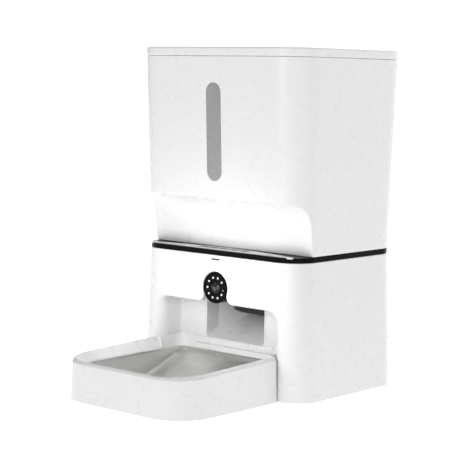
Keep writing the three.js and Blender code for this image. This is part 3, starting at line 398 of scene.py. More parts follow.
# ---------- workshop ----------
@dataclass
class Workshop:
    """Builds, carves and dresses meshes, and hands each finished piece to the frame."""

    layout: Layout
    materials: dict[Slot, bpy.types.Material] = field(default_factory=dict)
    pieces: list[str] = field(default_factory=list)

    def __post_init__(self) -> None:
        """Make every finish once."""
        self.materials = {slot: finish.build(slot.value) for slot, finish in FINISHES.items()}

    def mesh(self, name: str, vertices: Sequence[Vector], faces: Sequence[Sequence[int]]) -> Object:
        """Make an object from points and faces, with its normals turned outwards."""
        draft = bpy.data.meshes.new("draft")
        draft.from_pydata([tuple(v) for v in vertices], [], [list(f) for f in faces])
        solid = bmesh.new()
        solid.from_mesh(draft)
        bpy.data.meshes.remove(draft)
        bmesh.ops.remove_doubles(solid, verts=solid.verts, dist=MERGE)
        return self.stand(name, solid)

    def stand(self, name: str, solid: bmesh.types.BMesh) -> Object:
        """Turn a mesh under work outwards and stand it in the scene."""
        bmesh.ops.recalc_face_normals(solid, faces=solid.faces)
        data = bpy.data.meshes.new(name)
        solid.to_mesh(data)
        solid.free()
        piece = bpy.data.objects.new(name, data)
        bpy.context.scene.collection.objects.link(piece)
        return piece

    def skin(self, name: str, rings: Sequence[Ring], capped: bool = True, joined: bool = False) -> Object:
        """Stretch a skin over rings of equal counts.

        Args:
            name: The object's name.
            rings: The rings, in order, in local millimetres.
            capped: Whether the first and last rings are closed with a face.
            joined: Whether the last ring joins the first.

        Returns:
            The new object.
        """
        count = len(rings[0])
        vertices = [self.layout.place(*p) for ring in rings for p in ring]
        faces: list[list[int]] = []
        rounds = len(rings) if joined else len(rings) - 1
        for r in range(rounds):
            a, b = r * count, ((r + 1) % len(rings)) * count
            faces += [[a + k, a + (k + 1) % count, b + (k + 1) % count, b + k] for k in range(count)]
        if capped and not joined:
            faces.append(list(range(count))[::-1])
            faces.append([(len(rings) - 1) * count + k for k in range(count)])
        return self.mesh(name, vertices, faces)

    def combine(self, body: Object, tool: Object, how: Solid) -> Object:
        """Cut, join or intersect a body with a tool, which is used up."""
        modifier = body.modifiers.new("combine", "BOOLEAN")
        modifier.operation = how.value
        modifier.solver = "EXACT"
        modifier.object = tool
        self.settle(body)
        bpy.data.objects.remove(tool)
        return body

    def cut(self, body: Object, name: str, rings: Sequence[Ring]) -> None:
        """Cut a body with a skin stretched over rings."""
        self.combine(body, self.skin(name, rings), Solid.CUT)

    def join(self, body: Object, name: str, rings: Sequence[Ring]) -> None:
        """Join a skin stretched over rings to a body."""
        self.combine(body, self.skin(name, rings), Solid.JOIN)

    def settle(self, piece: Object) -> None:
        """Apply a piece's modifiers to its mesh."""
        bpy.context.view_layer.update()
        evaluated = piece.evaluated_get(bpy.context.evaluated_depsgraph_get())
        data = bpy.data.meshes.new_from_object(evaluated)
        piece.modifiers.clear()
        piece.data = data

    def soften(self, piece: Object, width: float, segments: int = 3, angle: float = 32.0) -> None:
        """Round a piece's sharp edges by a width in millimetres."""
        modifier = piece.modifiers.new("round", "BEVEL")
        modifier.width = width * MM
        modifier.segments = segments
        modifier.limit_method = "ANGLE"
        modifier.angle_limit = math.radians(angle)
        modifier.harden_normals = False
        self.settle(piece)

    def finish(
        self, piece: Object, slot: Slot, body: str, nodes: Sequence[str], angle: float = 34.0
    ) -> Object:
        """Shade, dress and ride a piece, and let it stand for its CAD nodes.

        Args:
            piece: The piece.
            slot: The material slot that gives its finish.
            body: The CAD body that it moves with.
            nodes: The CAD nodes that it stands for.
            angle: The angle above which an edge stays sharp.

        Returns:
            The piece.
        """
        piece.data.materials.clear()
        piece.data.materials.append(self.materials[slot])
        piece.data.shade_smooth()
        piece.data.set_sharp_from_angle(angle=math.radians(angle))
        modifier = piece.modifiers.new("even", "WEIGHTED_NORMAL")
        modifier.keep_sharp = True
        self.settle(piece)
        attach(piece, body)
        if nodes:
            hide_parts(*nodes)
        self.pieces.append(piece.name)
        return piece

    def remake(self, node: str, slot: Slot, body: str, width: float = 0.25, segments: int = 2) -> Object:
        """Make a node again from its own solid, with clean faces and softened edges."""
        solid = bmesh.new()
        solid.from_mesh(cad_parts[node].data)
        bmesh.ops.remove_doubles(solid, verts=solid.verts, dist=2 * MERGE)
        bmesh.ops.dissolve_limit(solid, angle_limit=math.radians(1), verts=solid.verts, edges=solid.edges)
        piece = self.stand(node + "_made", solid)
        if width:
            self.soften(piece, width, segments)
        return self.finish(piece, slot, body, [node])


@dataclass
class Assembly:
    """A sub-assembly, whose pieces are made in the workshop."""

    shop: Workshop

    @property
    def layout(self) -> Layout:
        """The casing's outlines and shared places."""
        return self.shop.layout

    def remake(self, *rows: tuple) -> None:
        """Make nodes again, each from a row of the arguments that the workshop's remake takes."""
        for row in rows:
            self.shop.remake(*row)


def level(points: Sequence[Point], z: float) -> Ring:
    """Lay (x, y) points flat at a height."""
    return [(x, y, z) for x, y in points]


def facing(points: Sequence[Point], y: float) -> Ring:
    """Stand (x, z) points upright at a Y."""
    return [(x, y, z) for x, z in points]


def circle(cx: float, cy: float, radius: float, steps: int = 72) -> list[Point]:
    """Give the points of a whole circle."""
    return arc(cx, cy, radius, 0, 360 - 360 / steps, steps - 1)


def turns(steps: int, first: int = 0, end: float = 90.0) -> list[float]:
    """Give angles in radians in even steps from 0 to an end in degrees, from a first step on."""
    return [math.radians(end * k / steps) for k in range(first, steps + 1)]


def arc(cx: float, cy: float, radius: float, start: float, end: float, steps: int) -> list[Point]:
    """Give the points of an arc between two angles in degrees, both ends included."""
    angles = [math.radians(start + (end - start) * k / steps) for k in range(steps + 1)]
    return [(cx + radius * math.cos(a), cy + radius * math.sin(a)) for a in angles]


def mirrored(half: Sequence[Point]) -> list[Point]:
    """Close the right half of an outline, which starts and ends on the middle, with its left half."""
    return [*half, *((-x, y) for x, y in reversed(half[1:-1]))]


def bezier(a: Point, b: Point, c: Point, steps: int) -> list[Point]:
    """Give the points of a quadratic curve, both ends included."""
    parts = [k / steps for k in range(steps + 1)]
    return [
        tuple((1 - t) ** 2 * p + 2 * t * (1 - t) * q + t * t * r for p, q, r in zip(a, b, c)) for t in parts
    ]


def line(a: Point, b: Point, steps: int) -> list[Point]:
    """Give the points of a straight line, both ends included."""
    return [(a[0] + (b[0] - a[0]) * k / steps, a[1] + (b[1] - a[1]) * k / steps) for k in range(steps + 1)]


# ---------- hopper ----------
@dataclass
class Hopper(Assembly):
    """The food hopper: its stepped shell, its level window and its funnel."""

    wall: float = 2.6
    ledge_depth: float = 32.0
    cove_foot: Point = (27.0, 222.0)
    cove_bend: Point = (24.5, 250.5)
    cove_top: Point = (-4.0, 255.5)
    cove_round: float = 2.2
    side_round: float = 2.0
    edge_round: float = 0.7
    pane_half: float = 12.25
    pane_margin: float = 2.5

    def front_at(self, z: float) -> float:
        """Give the front face's Y at a height."""
        return self.layout.upper(z).front

    def cove(self) -> list[Point]:
        """Give the step's profile as (y, z) points, from the ledge up to the front face."""
        deck_front = self.layout.upper(self.layout.deck_top).front
        foot, bend, top = ((deck_front + y, z) for y, z in (self.cove_foot, self.cove_bend, self.cove_top))
        points = line((deck_front + self.ledge_depth, self.layout.deck_top + self.layout.seam_gap), foot, 6)
        edge = self.front_at(self.cove_top[1]) + self.cove_round
        sweep = [p for p in bezier(foot, bend, top, 26)[1:] if p[0] > edge + 0.3]
        rim = []
        for a in turns(6, 1):
            z = sweep[-1][1] + self.cove_round * (1 - math.cos(a)) * 1.1
            rim.append((self.front_at(z) + self.cove_round * (1 - math.sin(a)), z))
        return points + sweep + rim

    def row(self, z: float, cut: float, inset: float) -> Ring:
        """Give one closed row of the shell, whose front lies at a given Y.

        Args:
            z: The row's height.
            cut: The Y of the flat front at that height.
            inset: How far the row lies inside the casing's outline.

        Returns:
            The row's points, anticlockwise from the middle of the front.
        """
        size = self.layout.upper(z, inset)
        radius, small = size.corner, max(0.3, self.side_round - inset / 2)
        cx, cy = size.width / 2 - radius, size.front + radius
        cut = max(cut, size.front)
        rise = cut + small - cy
        reach = math.sqrt(max(0.0, (radius - small) ** 2 - rise * rise))
        turn = math.degrees(math.atan2(rise, reach))
        half: list[Point] = line((0.0, cut), (cx + reach, cut), 10)
        half += arc(cx + reach, cut + small, small, -90.0, turn, 6)[1:]
        half += arc(cx, cy, radius, turn, 0.0, 12)[1:]
        rear = size.rear_corner
        rear_x, rear_y = size.width / 2 - rear, size.back - rear
        half += line((size.width / 2, cy), (size.width / 2, rear_y), 6)[1:]
        half += arc(rear_x, rear_y, rear, 0, 90, 16)[1:]
        half += line((rear_x, size.back), (0.0, size.back), 6)[1:]
        return level(mirrored(half), z)

    def rows(self, inset: float, low: float, high: float) -> list[Ring]:
        """Give the shell's rows from its foot to its top, for the outside or for an inner face."""
        cove = [(y + inset, z + (inset if z > self.cove_foot[1] else 0)) for y, z in self.cove()]
        ledge = cove[0][0]
        rounds = [0.0] if inset else [self.edge_round, self.edge_round * 0.3, 0.0]
        rows = [self.row(low + i * 0.35, ledge + r, inset + r) for i, r in enumerate(rounds)]
        rows += [self.row(z, y, inset) for y, z in cove[1:]]
        top_cove = cove[-1][1]
        rows += [self.row(top_cove + (high - 1 - top_cove) * k / 12, -FAR, inset) for k in range(1, 13)]
        if inset:
            return rows + [self.row(high, -FAR, inset)]
        return rows + [self.row(high - 0.5, -FAR, 0.1), self.row(high, -FAR, self.edge_round)]

    def build_shell(self) -> None:
        """Make the shell with its step, its rounded edges and the window's hole."""
        gap = self.layout.seam_gap
        low, high = self.layout.deck_top + gap, self.layout.lid_seam - gap
        shell = self.shop.skin("hopper_casing", self.rows(0.0, low, high))
        self.shop.cut(shell, "hopper_space", self.rows(self.wall, low - 5, high + 5))
        self.shop.cut(shell, "window_hole", self.pane(0.3, -10, 20, 0.0))
        self.shop.finish(shell, Slot.WHITE, "hopper", ["hopper_shell"])

    def pane(self, grow: float, front: float, back: float, dome: float) -> list[Ring]:
        """Give the rings of a long round-ended block that lies in the sloping front face.

        Args:
            grow: How much wider than the pane the block is on all sides.
            front: The depth of its front, from the front face.
            back: The depth of its back.
            dome: The round of its front edge.

        Returns:
            The rings, from front to back.
        """
        window = self.layout.box("level_window")
        margin = self.pane_margin + self.pane_half
        top, bottom = window.high.z - margin, window.low.z + margin
        levels = [(0.0, front)]
        if dome:
            levels = [(dome * (1 - math.sin(a)), front + dome * (1 - math.cos(a))) for a in turns(5)]
        rings: list[Ring] = []
        for shrink, depth in [*levels, (0.0, back)]:
            radius = self.pane_half + grow - shrink
            points = arc(0, top, radius, 0, 180, 20) + arc(0, bottom, radius, 180, 360, 20)
            rings.append([(x, self.front_at(z) + depth, z) for x, z in points])
        return rings

    def build_window(self) -> None:
        """Make the smoked pane, a little proud of the shell, and the flange behind it."""
        pane = self.shop.skin("level_pane", self.pane(0.0, -0.3, self.wall + 0.4, 1.0))
        self.shop.join(pane, "pane_flange", self.pane(2.2, self.wall + 0.3, self.wall + 1.7, 0.0))
        self.shop.finish(pane, Slot.WINDOW, "hopper", ["level_window"])

    def build(self) -> None:
        """Build the whole hopper."""
        self.build_shell()
        self.build_window()
        self.remake(("hopper_funnel", Slot.WHITE, "hopper", 0.5))


# ---------- lid ----------
@dataclass
class Lid(Assembly):
    """The hopper's lid with its seal and the desiccant holder under it."""

    edge_round: float = 2.6
    crown: float = 0.5
    wall: float = 2.8
    edge_wall: float = 6.8
    plug_inset: float = 6.0
    plug_depth: float = 9.0
    plug_wall: float = 2.4
    crown_shares: tuple[float, ...] = (0.12, 0.3, 0.5, 0.7, 0.85, 0.97)

    def build_plate(self) -> None:
        """Make the lid's plate, crowned on top and hollow below, with its plug."""
        layout = self.layout
        seam, top = layout.lid_seam, layout.lid_top
        side_top = top - self.edge_round - self.crown
        rows = [layout.upper(seam, 0.6).ring(seam), layout.upper(seam, 0.1).ring(seam + 0.5)]
        rows += [layout.upper(z).ring(z) for z in (seam + 1.0, side_top)]
        for a in turns(7, 1):
            inset = self.edge_round * (1 - math.cos(a))
            rows.append(layout.upper(side_top, inset).ring(side_top + self.edge_round * math.sin(a)))
        flat = layout.upper(side_top, self.edge_round)
        for share in self.crown_shares:
            keep = 1 - share
            scaled = Outline(flat.width * keep, flat.depth * keep, flat.corner * keep, y=flat.y)
            rows.append(scaled.ring(side_top + self.edge_round + self.crown * (1 - keep * keep)))
        plate = self.shop.skin("lid_cover", rows)
        pocket = [layout.upper(z, self.edge_wall).ring(z) for z in (seam - 2, top - self.wall - self.crown)]
        self.shop.cut(plate, "lid_pocket", pocket)
        foot, outer, inner = seam - self.plug_depth, self.plug_inset, self.plug_inset + self.plug_wall
        corners = (
            (foot, outer + 0.4, foot), (foot, outer, foot + 0.6), (seam, outer, seam + 1.2),
            (seam, inner, seam + 1.2), (foot, inner, foot + 0.6), (foot, inner - 0.4, foot),
        )
        rows = [layout.upper(at, inset).ring(z) for at, inset, z in corners]
        self.shop.combine(plate, self.shop.skin("lid_plug", rows, joined=True), Solid.JOIN)
        self.shop.finish(plate, Slot.WHITE, "lid", ["lid"])

    def build(self) -> None:
        """Build the lid and what it carries."""
        self.build_plate()
        self.remake(
            ("lid_seal", Slot.SILICONE, "lid", 0.6), ("desiccant_holder", Slot.WHITE, "lid", 0.4),
            ("desiccant_bag", Slot.SILICONE, "lid", 1.2),
            ("desiccant_cap", Slot.WHITE, "desiccant_cap", 0.4),
        )


# ---------- deck ----------
@dataclass
class Deck(Assembly):
    """The black deck between hopper and base, with the control panel and its keys."""

    groove: float = 0.15
    edge_round: float = 0.6
    ledge_depth: float = 32.0
    panel_front: float = 4.0
    panel_nose: float = 9.0
    panel_end: float = 13.0
    panel_gap: float = 1.5
    panel_sink: float = 1.6
    panel_proud: float = 0.4
    panel_play: float = 0.3
    key_count: int = 5
    key_gap: float = 0.5
    key_flange: float = 1.2
    key_sides: float = 1.8
    key_ends: float = 4.0
    key_corner: float = 1.6
    throat_edge: float = 5.0
    ridges: int = 3
    hole_play: float = 5.0

    def panel_outline(self, grow: float) -> list[Point]:
        """Give the lens-shaped outline of the control panel."""
        layout = self.layout
        front = layout.upper(layout.deck_top).front
        end_x, end_y = layout.deck.width / 2 - self.panel_end, front + self.panel_nose
        near, back = front + self.panel_front - grow, front + self.ledge_depth - self.panel_gap + grow
        straight = end_x - self.panel_nose
        half = line((0, near), (straight, near), 8)
        half += bezier((straight, near), (end_x - 2, near), (end_x + grow, end_y), 6)[1:]
        half += bezier((end_x + grow, end_y), (0, 2 * back - end_y), (-end_x - grow, end_y), 36)[1:19]
        return mirrored(half)

    def key_outline(self, index: int, grow: float) -> Outline:
        """Give the outline of a key's cap, which is narrower than its flange."""
        key = self.layout.box(f"key_{index}")
        return Outline(
            key.size.x - self.key_sides + 2 * grow, key.size.y - self.key_ends + 2 * grow,
            self.key_corner + grow, x=key.middle.x, y=key.middle.y,
        )

    def cut_keys(self, piece: Object, low: float) -> None:
        """Cut the keys' holes through a piece, from a height up."""
        for index in range(1, self.key_count + 1):
            size = self.key_outline(index, self.key_gap)
            holes = [size.ring(z, 5, 1) for z in (low, self.layout.deck_top + self.hole_play)]
            self.shop.cut(piece, "key_hole", holes)

    def build_plate(self) -> None:
        """Make the deck's glossy plate with its line, holes and recess."""
        layout = self.layout
        low, high = layout.deck_under, layout.deck_top
        middle = (low + high) / 2
        levels = [(low, self.edge_round), (low + 0.2, 0.2), (low + self.edge_round, 0.0), (middle - 0.35, 0.0)]
        levels += [(middle - 0.1, self.groove), (middle + 0.1, self.groove), (middle + 0.35, 0.0)]
        levels += [(high - self.edge_round, 0.0), (high - 0.2, 0.2), (high, self.edge_round)]
        plate = self.shop.skin("deck_band", [layout.deck.inset(inset).ring(z) for z, inset in levels])
        gasket = layout.box("throat_gasket")
        hole = circle(0, gasket.middle.y, gasket.size.x / 2 - self.throat_edge)
        below, above = low - self.hole_play, high + self.hole_play
        self.shop.cut(plate, "throat_hole", [level(hole, z) for z in (below, above)])
        recess = self.panel_outline(self.panel_play)
        self.shop.cut(plate, "panel_recess", [level(recess, z) for z in (high - self.panel_sink, above)])
        self.cut_keys(plate, below)
        self.shop.finish(plate, Slot.BLACK, "base", ["deck_plate"])

    def build_panel(self) -> None:
        """Make the white panel round the keys, with a rounded top edge."""
        high = self.layout.deck_top
        top = high + self.panel_proud
        foot = high - self.panel_sink + self.panel_play
        levels = ((foot, 0.0), (top - 0.4, 0.0), (top - 0.12, -0.12), (top, -0.4))
        panel = self.shop.skin("key_panel", [level(self.panel_outline(grow), z) for z, grow in levels])
        self.cut_keys(panel, high - 6)
        self.shop.finish(panel, Slot.WHITE, "base", ["control_panel"])

    def build_key(self, index: int) -> None:
        """Make one key: a rounded cap with raised ridges over its flange."""
        low, high = self.layout.box(f"key_{index}")
        foot, seat, top = low.z, low.z + self.key_flange, high.z
        size = self.key_outline(index, 0.0)
        flange = Outline(high.x - low.x, high.y - low.y, 1.0, x=size.x, y=size.y)
        lower = ((foot, 0.2), (foot + 0.2, 0.0), (seat - 0.1, 0.0), (seat, 0.2))
        upper = ((seat, 0.0), (top - 0.8, 0.0), (top - 0.35, 0.15), (top - 0.2, 0.5))
        rings = [flange.inset(inset).ring(z, 5, 1) for z, inset in lower]
        rings += [size.inset(inset).ring(z, 5, 1) for z, inset in upper]
        cap = self.shop.skin(f"key_cap_{index}", rings)
        pitch = size.depth / (self.ridges + 1)
        for k in range(self.ridges):
            ridge = Outline(size.width - 4, pitch * 0.42, 0.5, x=size.x, y=size.front + pitch * (k + 1))
            steps = ((top - 0.6, 0.0), (top - 0.15, 0.0), (top, 0.2))
            self.shop.join(cap, "key_ridge", [ridge.inset(inset).ring(z, 3, 1) for z, inset in steps])
        self.shop.finish(cap, Slot.KEY, f"key_{index}", [f"key_{index}"])

    def build(self) -> None:
        """Build the deck, the panel and the keys."""
        self.build_plate()
        self.build_panel()
        for index in range(1, self.key_count + 1):
            self.build_key(index)
        self.remake(("throat_gasket", Slot.SILICONE, "base", 0.5), ("key_board", Slot.BOARD, "base", 0.2))


# ---------- base ----------
@dataclass(frozen=True)
class Station:
    """A point of an opening's outline, with the way out of it and the share of its edge's round."""

    x: float
    z: float
    nx: float
    nz: float
    share: float

    def mirrored(self) -> "Station":
        """Give the same point on the other side of the middle."""
        return Station(-self.x, self.z, -self.nx, self.nz, self.share)

    def beside(self, by: float, y: float) -> Triple:
        """Give the point moved away from the opening, at a Y."""
        return (self.x + self.nx * by, y, self.z + self.nz * by)

    def grown(self, by: float, y: Callable[[float, float], float]) -> Triple:
        """Give the point moved by its share of a distance, at a Y that depends on its place."""
        x, z = self.x + self.nx * by * self.share, self.z + self.nz * by * self.share
        return (x, y(x, z), z)


@dataclass
class Base(Assembly):
    """The base shell with the mouth under the camera, and what closes it below."""

    wall: float = 3.0
    mouth_top: float = 116.5
    mouth_corner: float = 13.0
    mouth_depth: float = 42.5
    mouth_half: float = 97.5
    jamb_round: float = 17.0
    top_share: float = 0.16
    pod_share: float = 0.08
    surround: float = 33.0
    inner_round: float = 5.0
    hole_radius: float = 21.6
    pod_z: float = 136.5
    fillet: float = 10.0
    chute_half: float = 53.5
    chute_top: float = 115.5
    edge_round: float = 0.7
    slot_play: float = 0.3
    pod_reach: Point = (-100.0, -20.0)
    jack_reach: Point = (60.0, 140.0)

    @property
    def panel_y(self) -> float:
        """The Y of the mouth's back wall."""
        return self.layout.lower(0).front + self.mouth_depth

    def front_at(self, x: float, z: float) -> float:
        """Give the front face's Y at a place, round the casing's corner too."""
        size = self.layout.lower(z)
        over = min(size.corner, max(0.0, abs(x) - (size.width / 2 - size.corner)))
        return size.front + size.corner - math.sqrt(size.corner ** 2 - over * over)

    def mouth_side(self) -> list[Station]:
        """Give the right half of the mouth's outline, from its foot to its ceiling."""
        wall_top = self.mouth_top - self.mouth_corner
        cx = self.mouth_half - self.mouth_corner
        stations = [Station(self.mouth_half, -6 + (wall_top + 6) * k / 9, 1, 0, 1) for k in range(9)]
        for a in turns(16):
            nx, nz = math.cos(a), math.sin(a)
            share = self.top_share + (1 - self.top_share) * (1 - nz) ** 0.8
            x, z = cx + self.mouth_corner * nx, wall_top + self.mouth_corner * nz
            stations.append(Station(x, z, nx, nz, share))
        return stations

    def opening(self) -> list[Station]:
        """Give the outline of mouth and camera hole, anticlockwise from the mouth's right foot."""
        rise = self.pod_z - (self.mouth_top + self.fillet)
        reach = math.sqrt((self.hole_radius + self.fillet) ** 2 - rise * rise)
        start = math.degrees(math.atan2(-rise, reach))
        stations = self.mouth_side()
        cx = self.mouth_half - self.mouth_corner
        for k in range(1, 10):
            stations.append(Station(cx + (reach - cx) * k / 10, self.mouth_top, 0, 1, self.top_share))
        for k in range(13):
            heading = math.radians(270 - (90 - start) * k / 12)
            nx, nz = math.cos(heading), math.sin(heading)
            x, z = reach + self.fillet * nx, self.mouth_top + self.fillet + self.fillet * nz
            share = self.top_share + (self.pod_share - self.top_share) * k / 12
            stations.append(Station(x, z, -nx, -nz, share))
        for k in range(1, 16):
            a = math.radians(start + (90 - start) * k / 15)
            nx, nz = math.cos(a), math.sin(a)
            x, z = self.hole_radius * nx, self.pod_z + self.hole_radius * nz
            stations.append(Station(x, z, nx, nz, self.pod_share))
        return stations + [station.mirrored() for station in reversed(stations[:-1])]

    def mouth_cutter(self) -> list[Ring]:
        """Give the solid that opens the mouth, flared at the front and rounded at the back."""
        stations, radius, inner = self.opening(), self.jamb_round, self.inner_round
        rings = [[station.grown(radius, lambda x, z: self.front_at(x, z) - 8) for station in stations]]
        for a in turns(12):
            grow, depth = radius * (1 - math.sin(a)), radius * (1 - math.cos(a))
            rings.append([station.grown(
                grow, lambda x, z, d=depth * station.share: self.front_at(x, z) + d + 0.02
            ) for station in stations])
        for a in turns(6):
            y = self.panel_y - inner * (1 - math.sin(a))
            shrink = -inner * (1 - math.cos(a))
            rings.append([station.grown(shrink, lambda x, z, y=y: y) for station in stations])
        return rings

    def mouth_liner(self) -> Object:
        """Make the walls round the mouth and the block round the camera, not yet hollowed."""
        right = self.mouth_side()
        stations = right + [station.mirrored() for station in reversed(right)]
        rings: list[Ring] = []
        for a in turns(8):
            ring: Ring = []
            for station in stations:
                radius = max(self.jamb_round * station.share, self.wall + 0.2)
                grow = radius - (radius - self.wall) * math.sin(a)
                depth = radius - (radius - self.wall) * math.cos(a)
                x, z = station.x + station.nx * grow, station.z + station.nz * grow
                ring.append((x, self.front_at(x, z) + depth, z))
            rings.append(ring)
        rings.insert(0, [(x, y - self.wall + 0.6, z) for x, y, z in rings[0]])
        back = self.panel_y + self.wall
        rings.append([station.beside(self.wall, back) for station in stations])
        liner = self.shop.skin("mouth_liner", rings)
        front = self.front_at(0, self.pod_z) + 0.6
        housing = self.block(
            (-self.surround, self.surround), (front, back - 0.2),
            (self.mouth_top - 2, self.pod_z + self.hole_radius + self.wall),
        )
        self.shop.join(liner, "pod_surround", housing)
        return liner

    def block(self, x: Point, y: Point, z: Point) -> list[Ring]:
        """Give the rings of a plain block between two corners."""
        return [level([(x[0], y[0]), (x[1], y[0]), (x[1], y[1]), (x[0], y[1])], h) for h in z]

    def slot_cutter(self) -> list[Ring]:
        """Give the round-ended cutter of the microphone slot, with its eased front edge."""
        box = self.layout.box("microphone_grille")
        centre, play = box.middle.z, self.slot_play
        half, radius = box.size.x / 2 + play, box.size.z / 2 + play
        outline = arc(half - radius, centre, radius, -90, 90, 8)
        outline += arc(-half + radius, centre, radius, 90, 270, 8)
        front = self.layout.lower(centre).front
        levels = ((-5, 0.5), (0.02, 0.5), (0.15, 0.15), (0.5, 0.0), (12, 0.0))
        rings = []
        for depth, grow in levels:
            scale = (radius + grow) / radius
            grown = [(x + math.copysign(grow, x), centre + (z - centre) * scale) for x, z in outline]
            rings.append(facing(grown, front + depth))
        return rings

    def build_shell(self) -> None:
        """Make the shell: walls, mouth, chute opening, camera hole, slot and inlet hole."""
        layout, shop = self.layout, self.shop
        low, high = layout.foot, layout.deck_under - layout.seam_gap
        levels = [(low, 0.8), (low + 0.3, 0.25), (low + 0.9, 0.0)]
        levels += [(low + 0.9 + (high - 1.8 - low) * k / 10, 0.0) for k in range(1, 11)]
        levels += [(high - 0.3, 0.2), (high, self.edge_round)]
        shell = shop.skin("base_casing", [layout.lower(z, inset).ring(z) for z, inset in levels])
        shop.cut(shell, "base_space", [layout.lower(z, self.wall).ring(z) for z in (low - 6, high + 6)])
        liner = self.mouth_liner()
        within = [layout.lower(z, self.wall / 2).ring(z) for z in (low, high)]
        shop.combine(liner, shop.skin("liner_limit", within), Solid.KEEP)
        shop.combine(shell, liner, Solid.JOIN)
        shop.cut(shell, "mouth_space", self.mouth_cutter())
        chute = self.block(
            (-self.chute_half, self.chute_half), (self.panel_y - 4, self.panel_y + self.wall + 4),
            (-5, self.chute_top),
        )
        shop.cut(shell, "chute_gap", chute)
        hole = circle(0, self.pod_z, self.hole_radius)
        shop.cut(shell, "pod_space", [facing(hole, y) for y in self.pod_reach])
        shop.cut(shell, "slot_space", self.slot_cutter())
        inlet = layout.box("power_inlet")
        jack = Outline(inlet.size.x + 0.6, inlet.size.z + 0.6, 1.2, x=inlet.middle.x, y=inlet.middle.z)
        shop.cut(shell, "jack_space", [jack.upright(y) for y in self.jack_reach])
        shop.finish(shell, Slot.WHITE, "base", ["base_shell"], 30)

    def build(self) -> None:
        """Build the base shell, its floor, feet, screws and hatch."""
        self.build_shell()
        self.remake(
            ("base_floor", Slot.WHITE, "base", 0.4), ("battery_hatch", Slot.WHITE, "battery_hatch", 0.5),
            *(
                (f"foot_{end}_{side}", Slot.RUBBER, "base", 0.4)
                for end in ("front", "rear") for side in SIDES
            ),
            *((f"base_screw_{index}", Slot.ZINC, "base", 0.15) for index in range(1, 5)),
            ("power_inlet", Slot.INNER, "base", 0.3), ("microphone_grille", Slot.INNER, "base", 0.15),
        )


# ---------- camera ----------
@dataclass
class Camera(Assembly):
    """The camera pod above the mouth: bezel, face, lights, sensor and lens.

    The profiles are (radius, depth) points, in millimetres, round each part's own axis.
    """

    pod_radius: float = 20.4
    rim: float = 2.0
    length: float = 46.0
    face_gap: float = 0.2
    light_count: int = 9
    light_circle: float = 13.7
    light_start: float = 36.1
    light_step: float = 36.0
    sensor_angle: float = -10.3
    cone: tuple[Point, ...] = (
        (11.4, 1.0), (11.0, 0.8), (10.2, 0.75), (9.6, 1.1), (7.6, 1.9), (7.3, 2.4), (0.0, 2.4),
    )
    light_board: tuple[Point, ...] = ((0.0, 4.6), (17.4, 4.6), (17.4, 5.8), (0.0, 5.8))
    dome: tuple[Point, ...] = (
        (0.0, -0.1), (0.5, 0.0), (1.0, 0.25), (1.35, 0.6), (1.5, 1.0), (1.5, 1.6), (0.0, 1.6),
    )
    eye: tuple[Point, ...] = ((0.0, 0.7), (0.8, 0.75), (1.0, 0.95), (1.0, 1.7), (0.0, 1.7))
    glass: tuple[Point, ...] = (
        (0.0, 0.55), (2.0, 0.66), (3.8, 1.0), (5.0, 1.5), (5.6, 2.0), (5.9, 2.1), (6.2, 1.6), (6.6, 1.3),
        (7.0, 1.35), (7.2, 1.7), (7.2, 10.0), (0.0, 10.0),
    )

    def turned(self, profile: Sequence[Point], angle: float | None = None, steps: int = 64) -> list[Ring]:
        """Turn a profile that starts and ends on an axis along Y.

        Args:
            profile: The profile's points.
            angle: The axis's place on the circle of lights, in degrees, or None for the pod's own axis.
            steps: Steps round the axis.

        Returns:
            The rings of the turned part.
        """
        pod = self.layout.box("camera_pod")
        x, z = 0.0, pod.middle.z
        if angle is not None:
            x += self.light_circle * math.cos(math.radians(angle))
            z += self.light_circle * math.sin(math.radians(angle))
        return [facing(circle(x, z, max(radius, 0.01), steps), pod.low.y + depth) for radius, depth in profile]

    def dress(self, name: str, profile: Sequence[Point], slot: Slot, node: str) -> None:
        """Make one turned part on the pod's axis and dress it."""
        self.shop.finish(self.shop.skin(name, self.turned(profile)), slot, "base", [node])

    def build_pod(self) -> None:
        """Make the black housing: a round can with a softened rim and a hollow front."""
        outer, inner, floor = self.pod_radius, self.pod_radius - self.rim, self.length - self.rim
        profile = (
            (0.0, floor), (inner, floor), (inner, 0.5), (inner + 0.2, 0.15), (inner + 0.6, 0.0),
            (outer - 0.9, 0.0), (outer - 0.35, 0.15), (outer, 0.8), (outer, self.length), (0.0, self.length),
        )
        self.dress("pod_housing", profile, Slot.BLACK, "camera_pod")

    def build_face(self) -> None:
        """Make the dark face plate: a flat ring for the lights and a cone down to the lens."""
        radius = self.pod_radius - self.rim - self.face_gap
        profile = [(0.0, 4.2), (radius, 4.2), (radius, 1.3), (radius - 0.3, 1.0), *self.cone]
        self.dress("lens_surround", profile, Slot.BLACK, "camera_face")

    def build_lights(self) -> None:
        """Make the ring of domed lights on their board, and the light sensor."""
        ring = self.shop.skin("light_board", self.turned(self.light_board))
        for index in range(self.light_count):
            angle = self.light_start + self.light_step * index
            self.shop.join(ring, "light", self.turned(self.dome, angle, 20))
        self.shop.finish(ring, Slot.LED, "base", ["infrared_led_ring"])
        eye = self.shop.skin("sensor_window", self.turned(self.eye, self.sensor_angle, 24))
        self.shop.finish(eye, Slot.WINDOW, "base", ["light_sensor"])

    def build(self) -> None:
        """Build the camera, from its housing to its domed glass, and the board behind it."""
        self.build_pod()
        self.build_face()
        self.build_lights()
        self.dress("lens_dome", self.glass, Slot.LENS, "camera_lens")
        self.remake(("camera_board", Slot.BOARD, "base", 0.15))


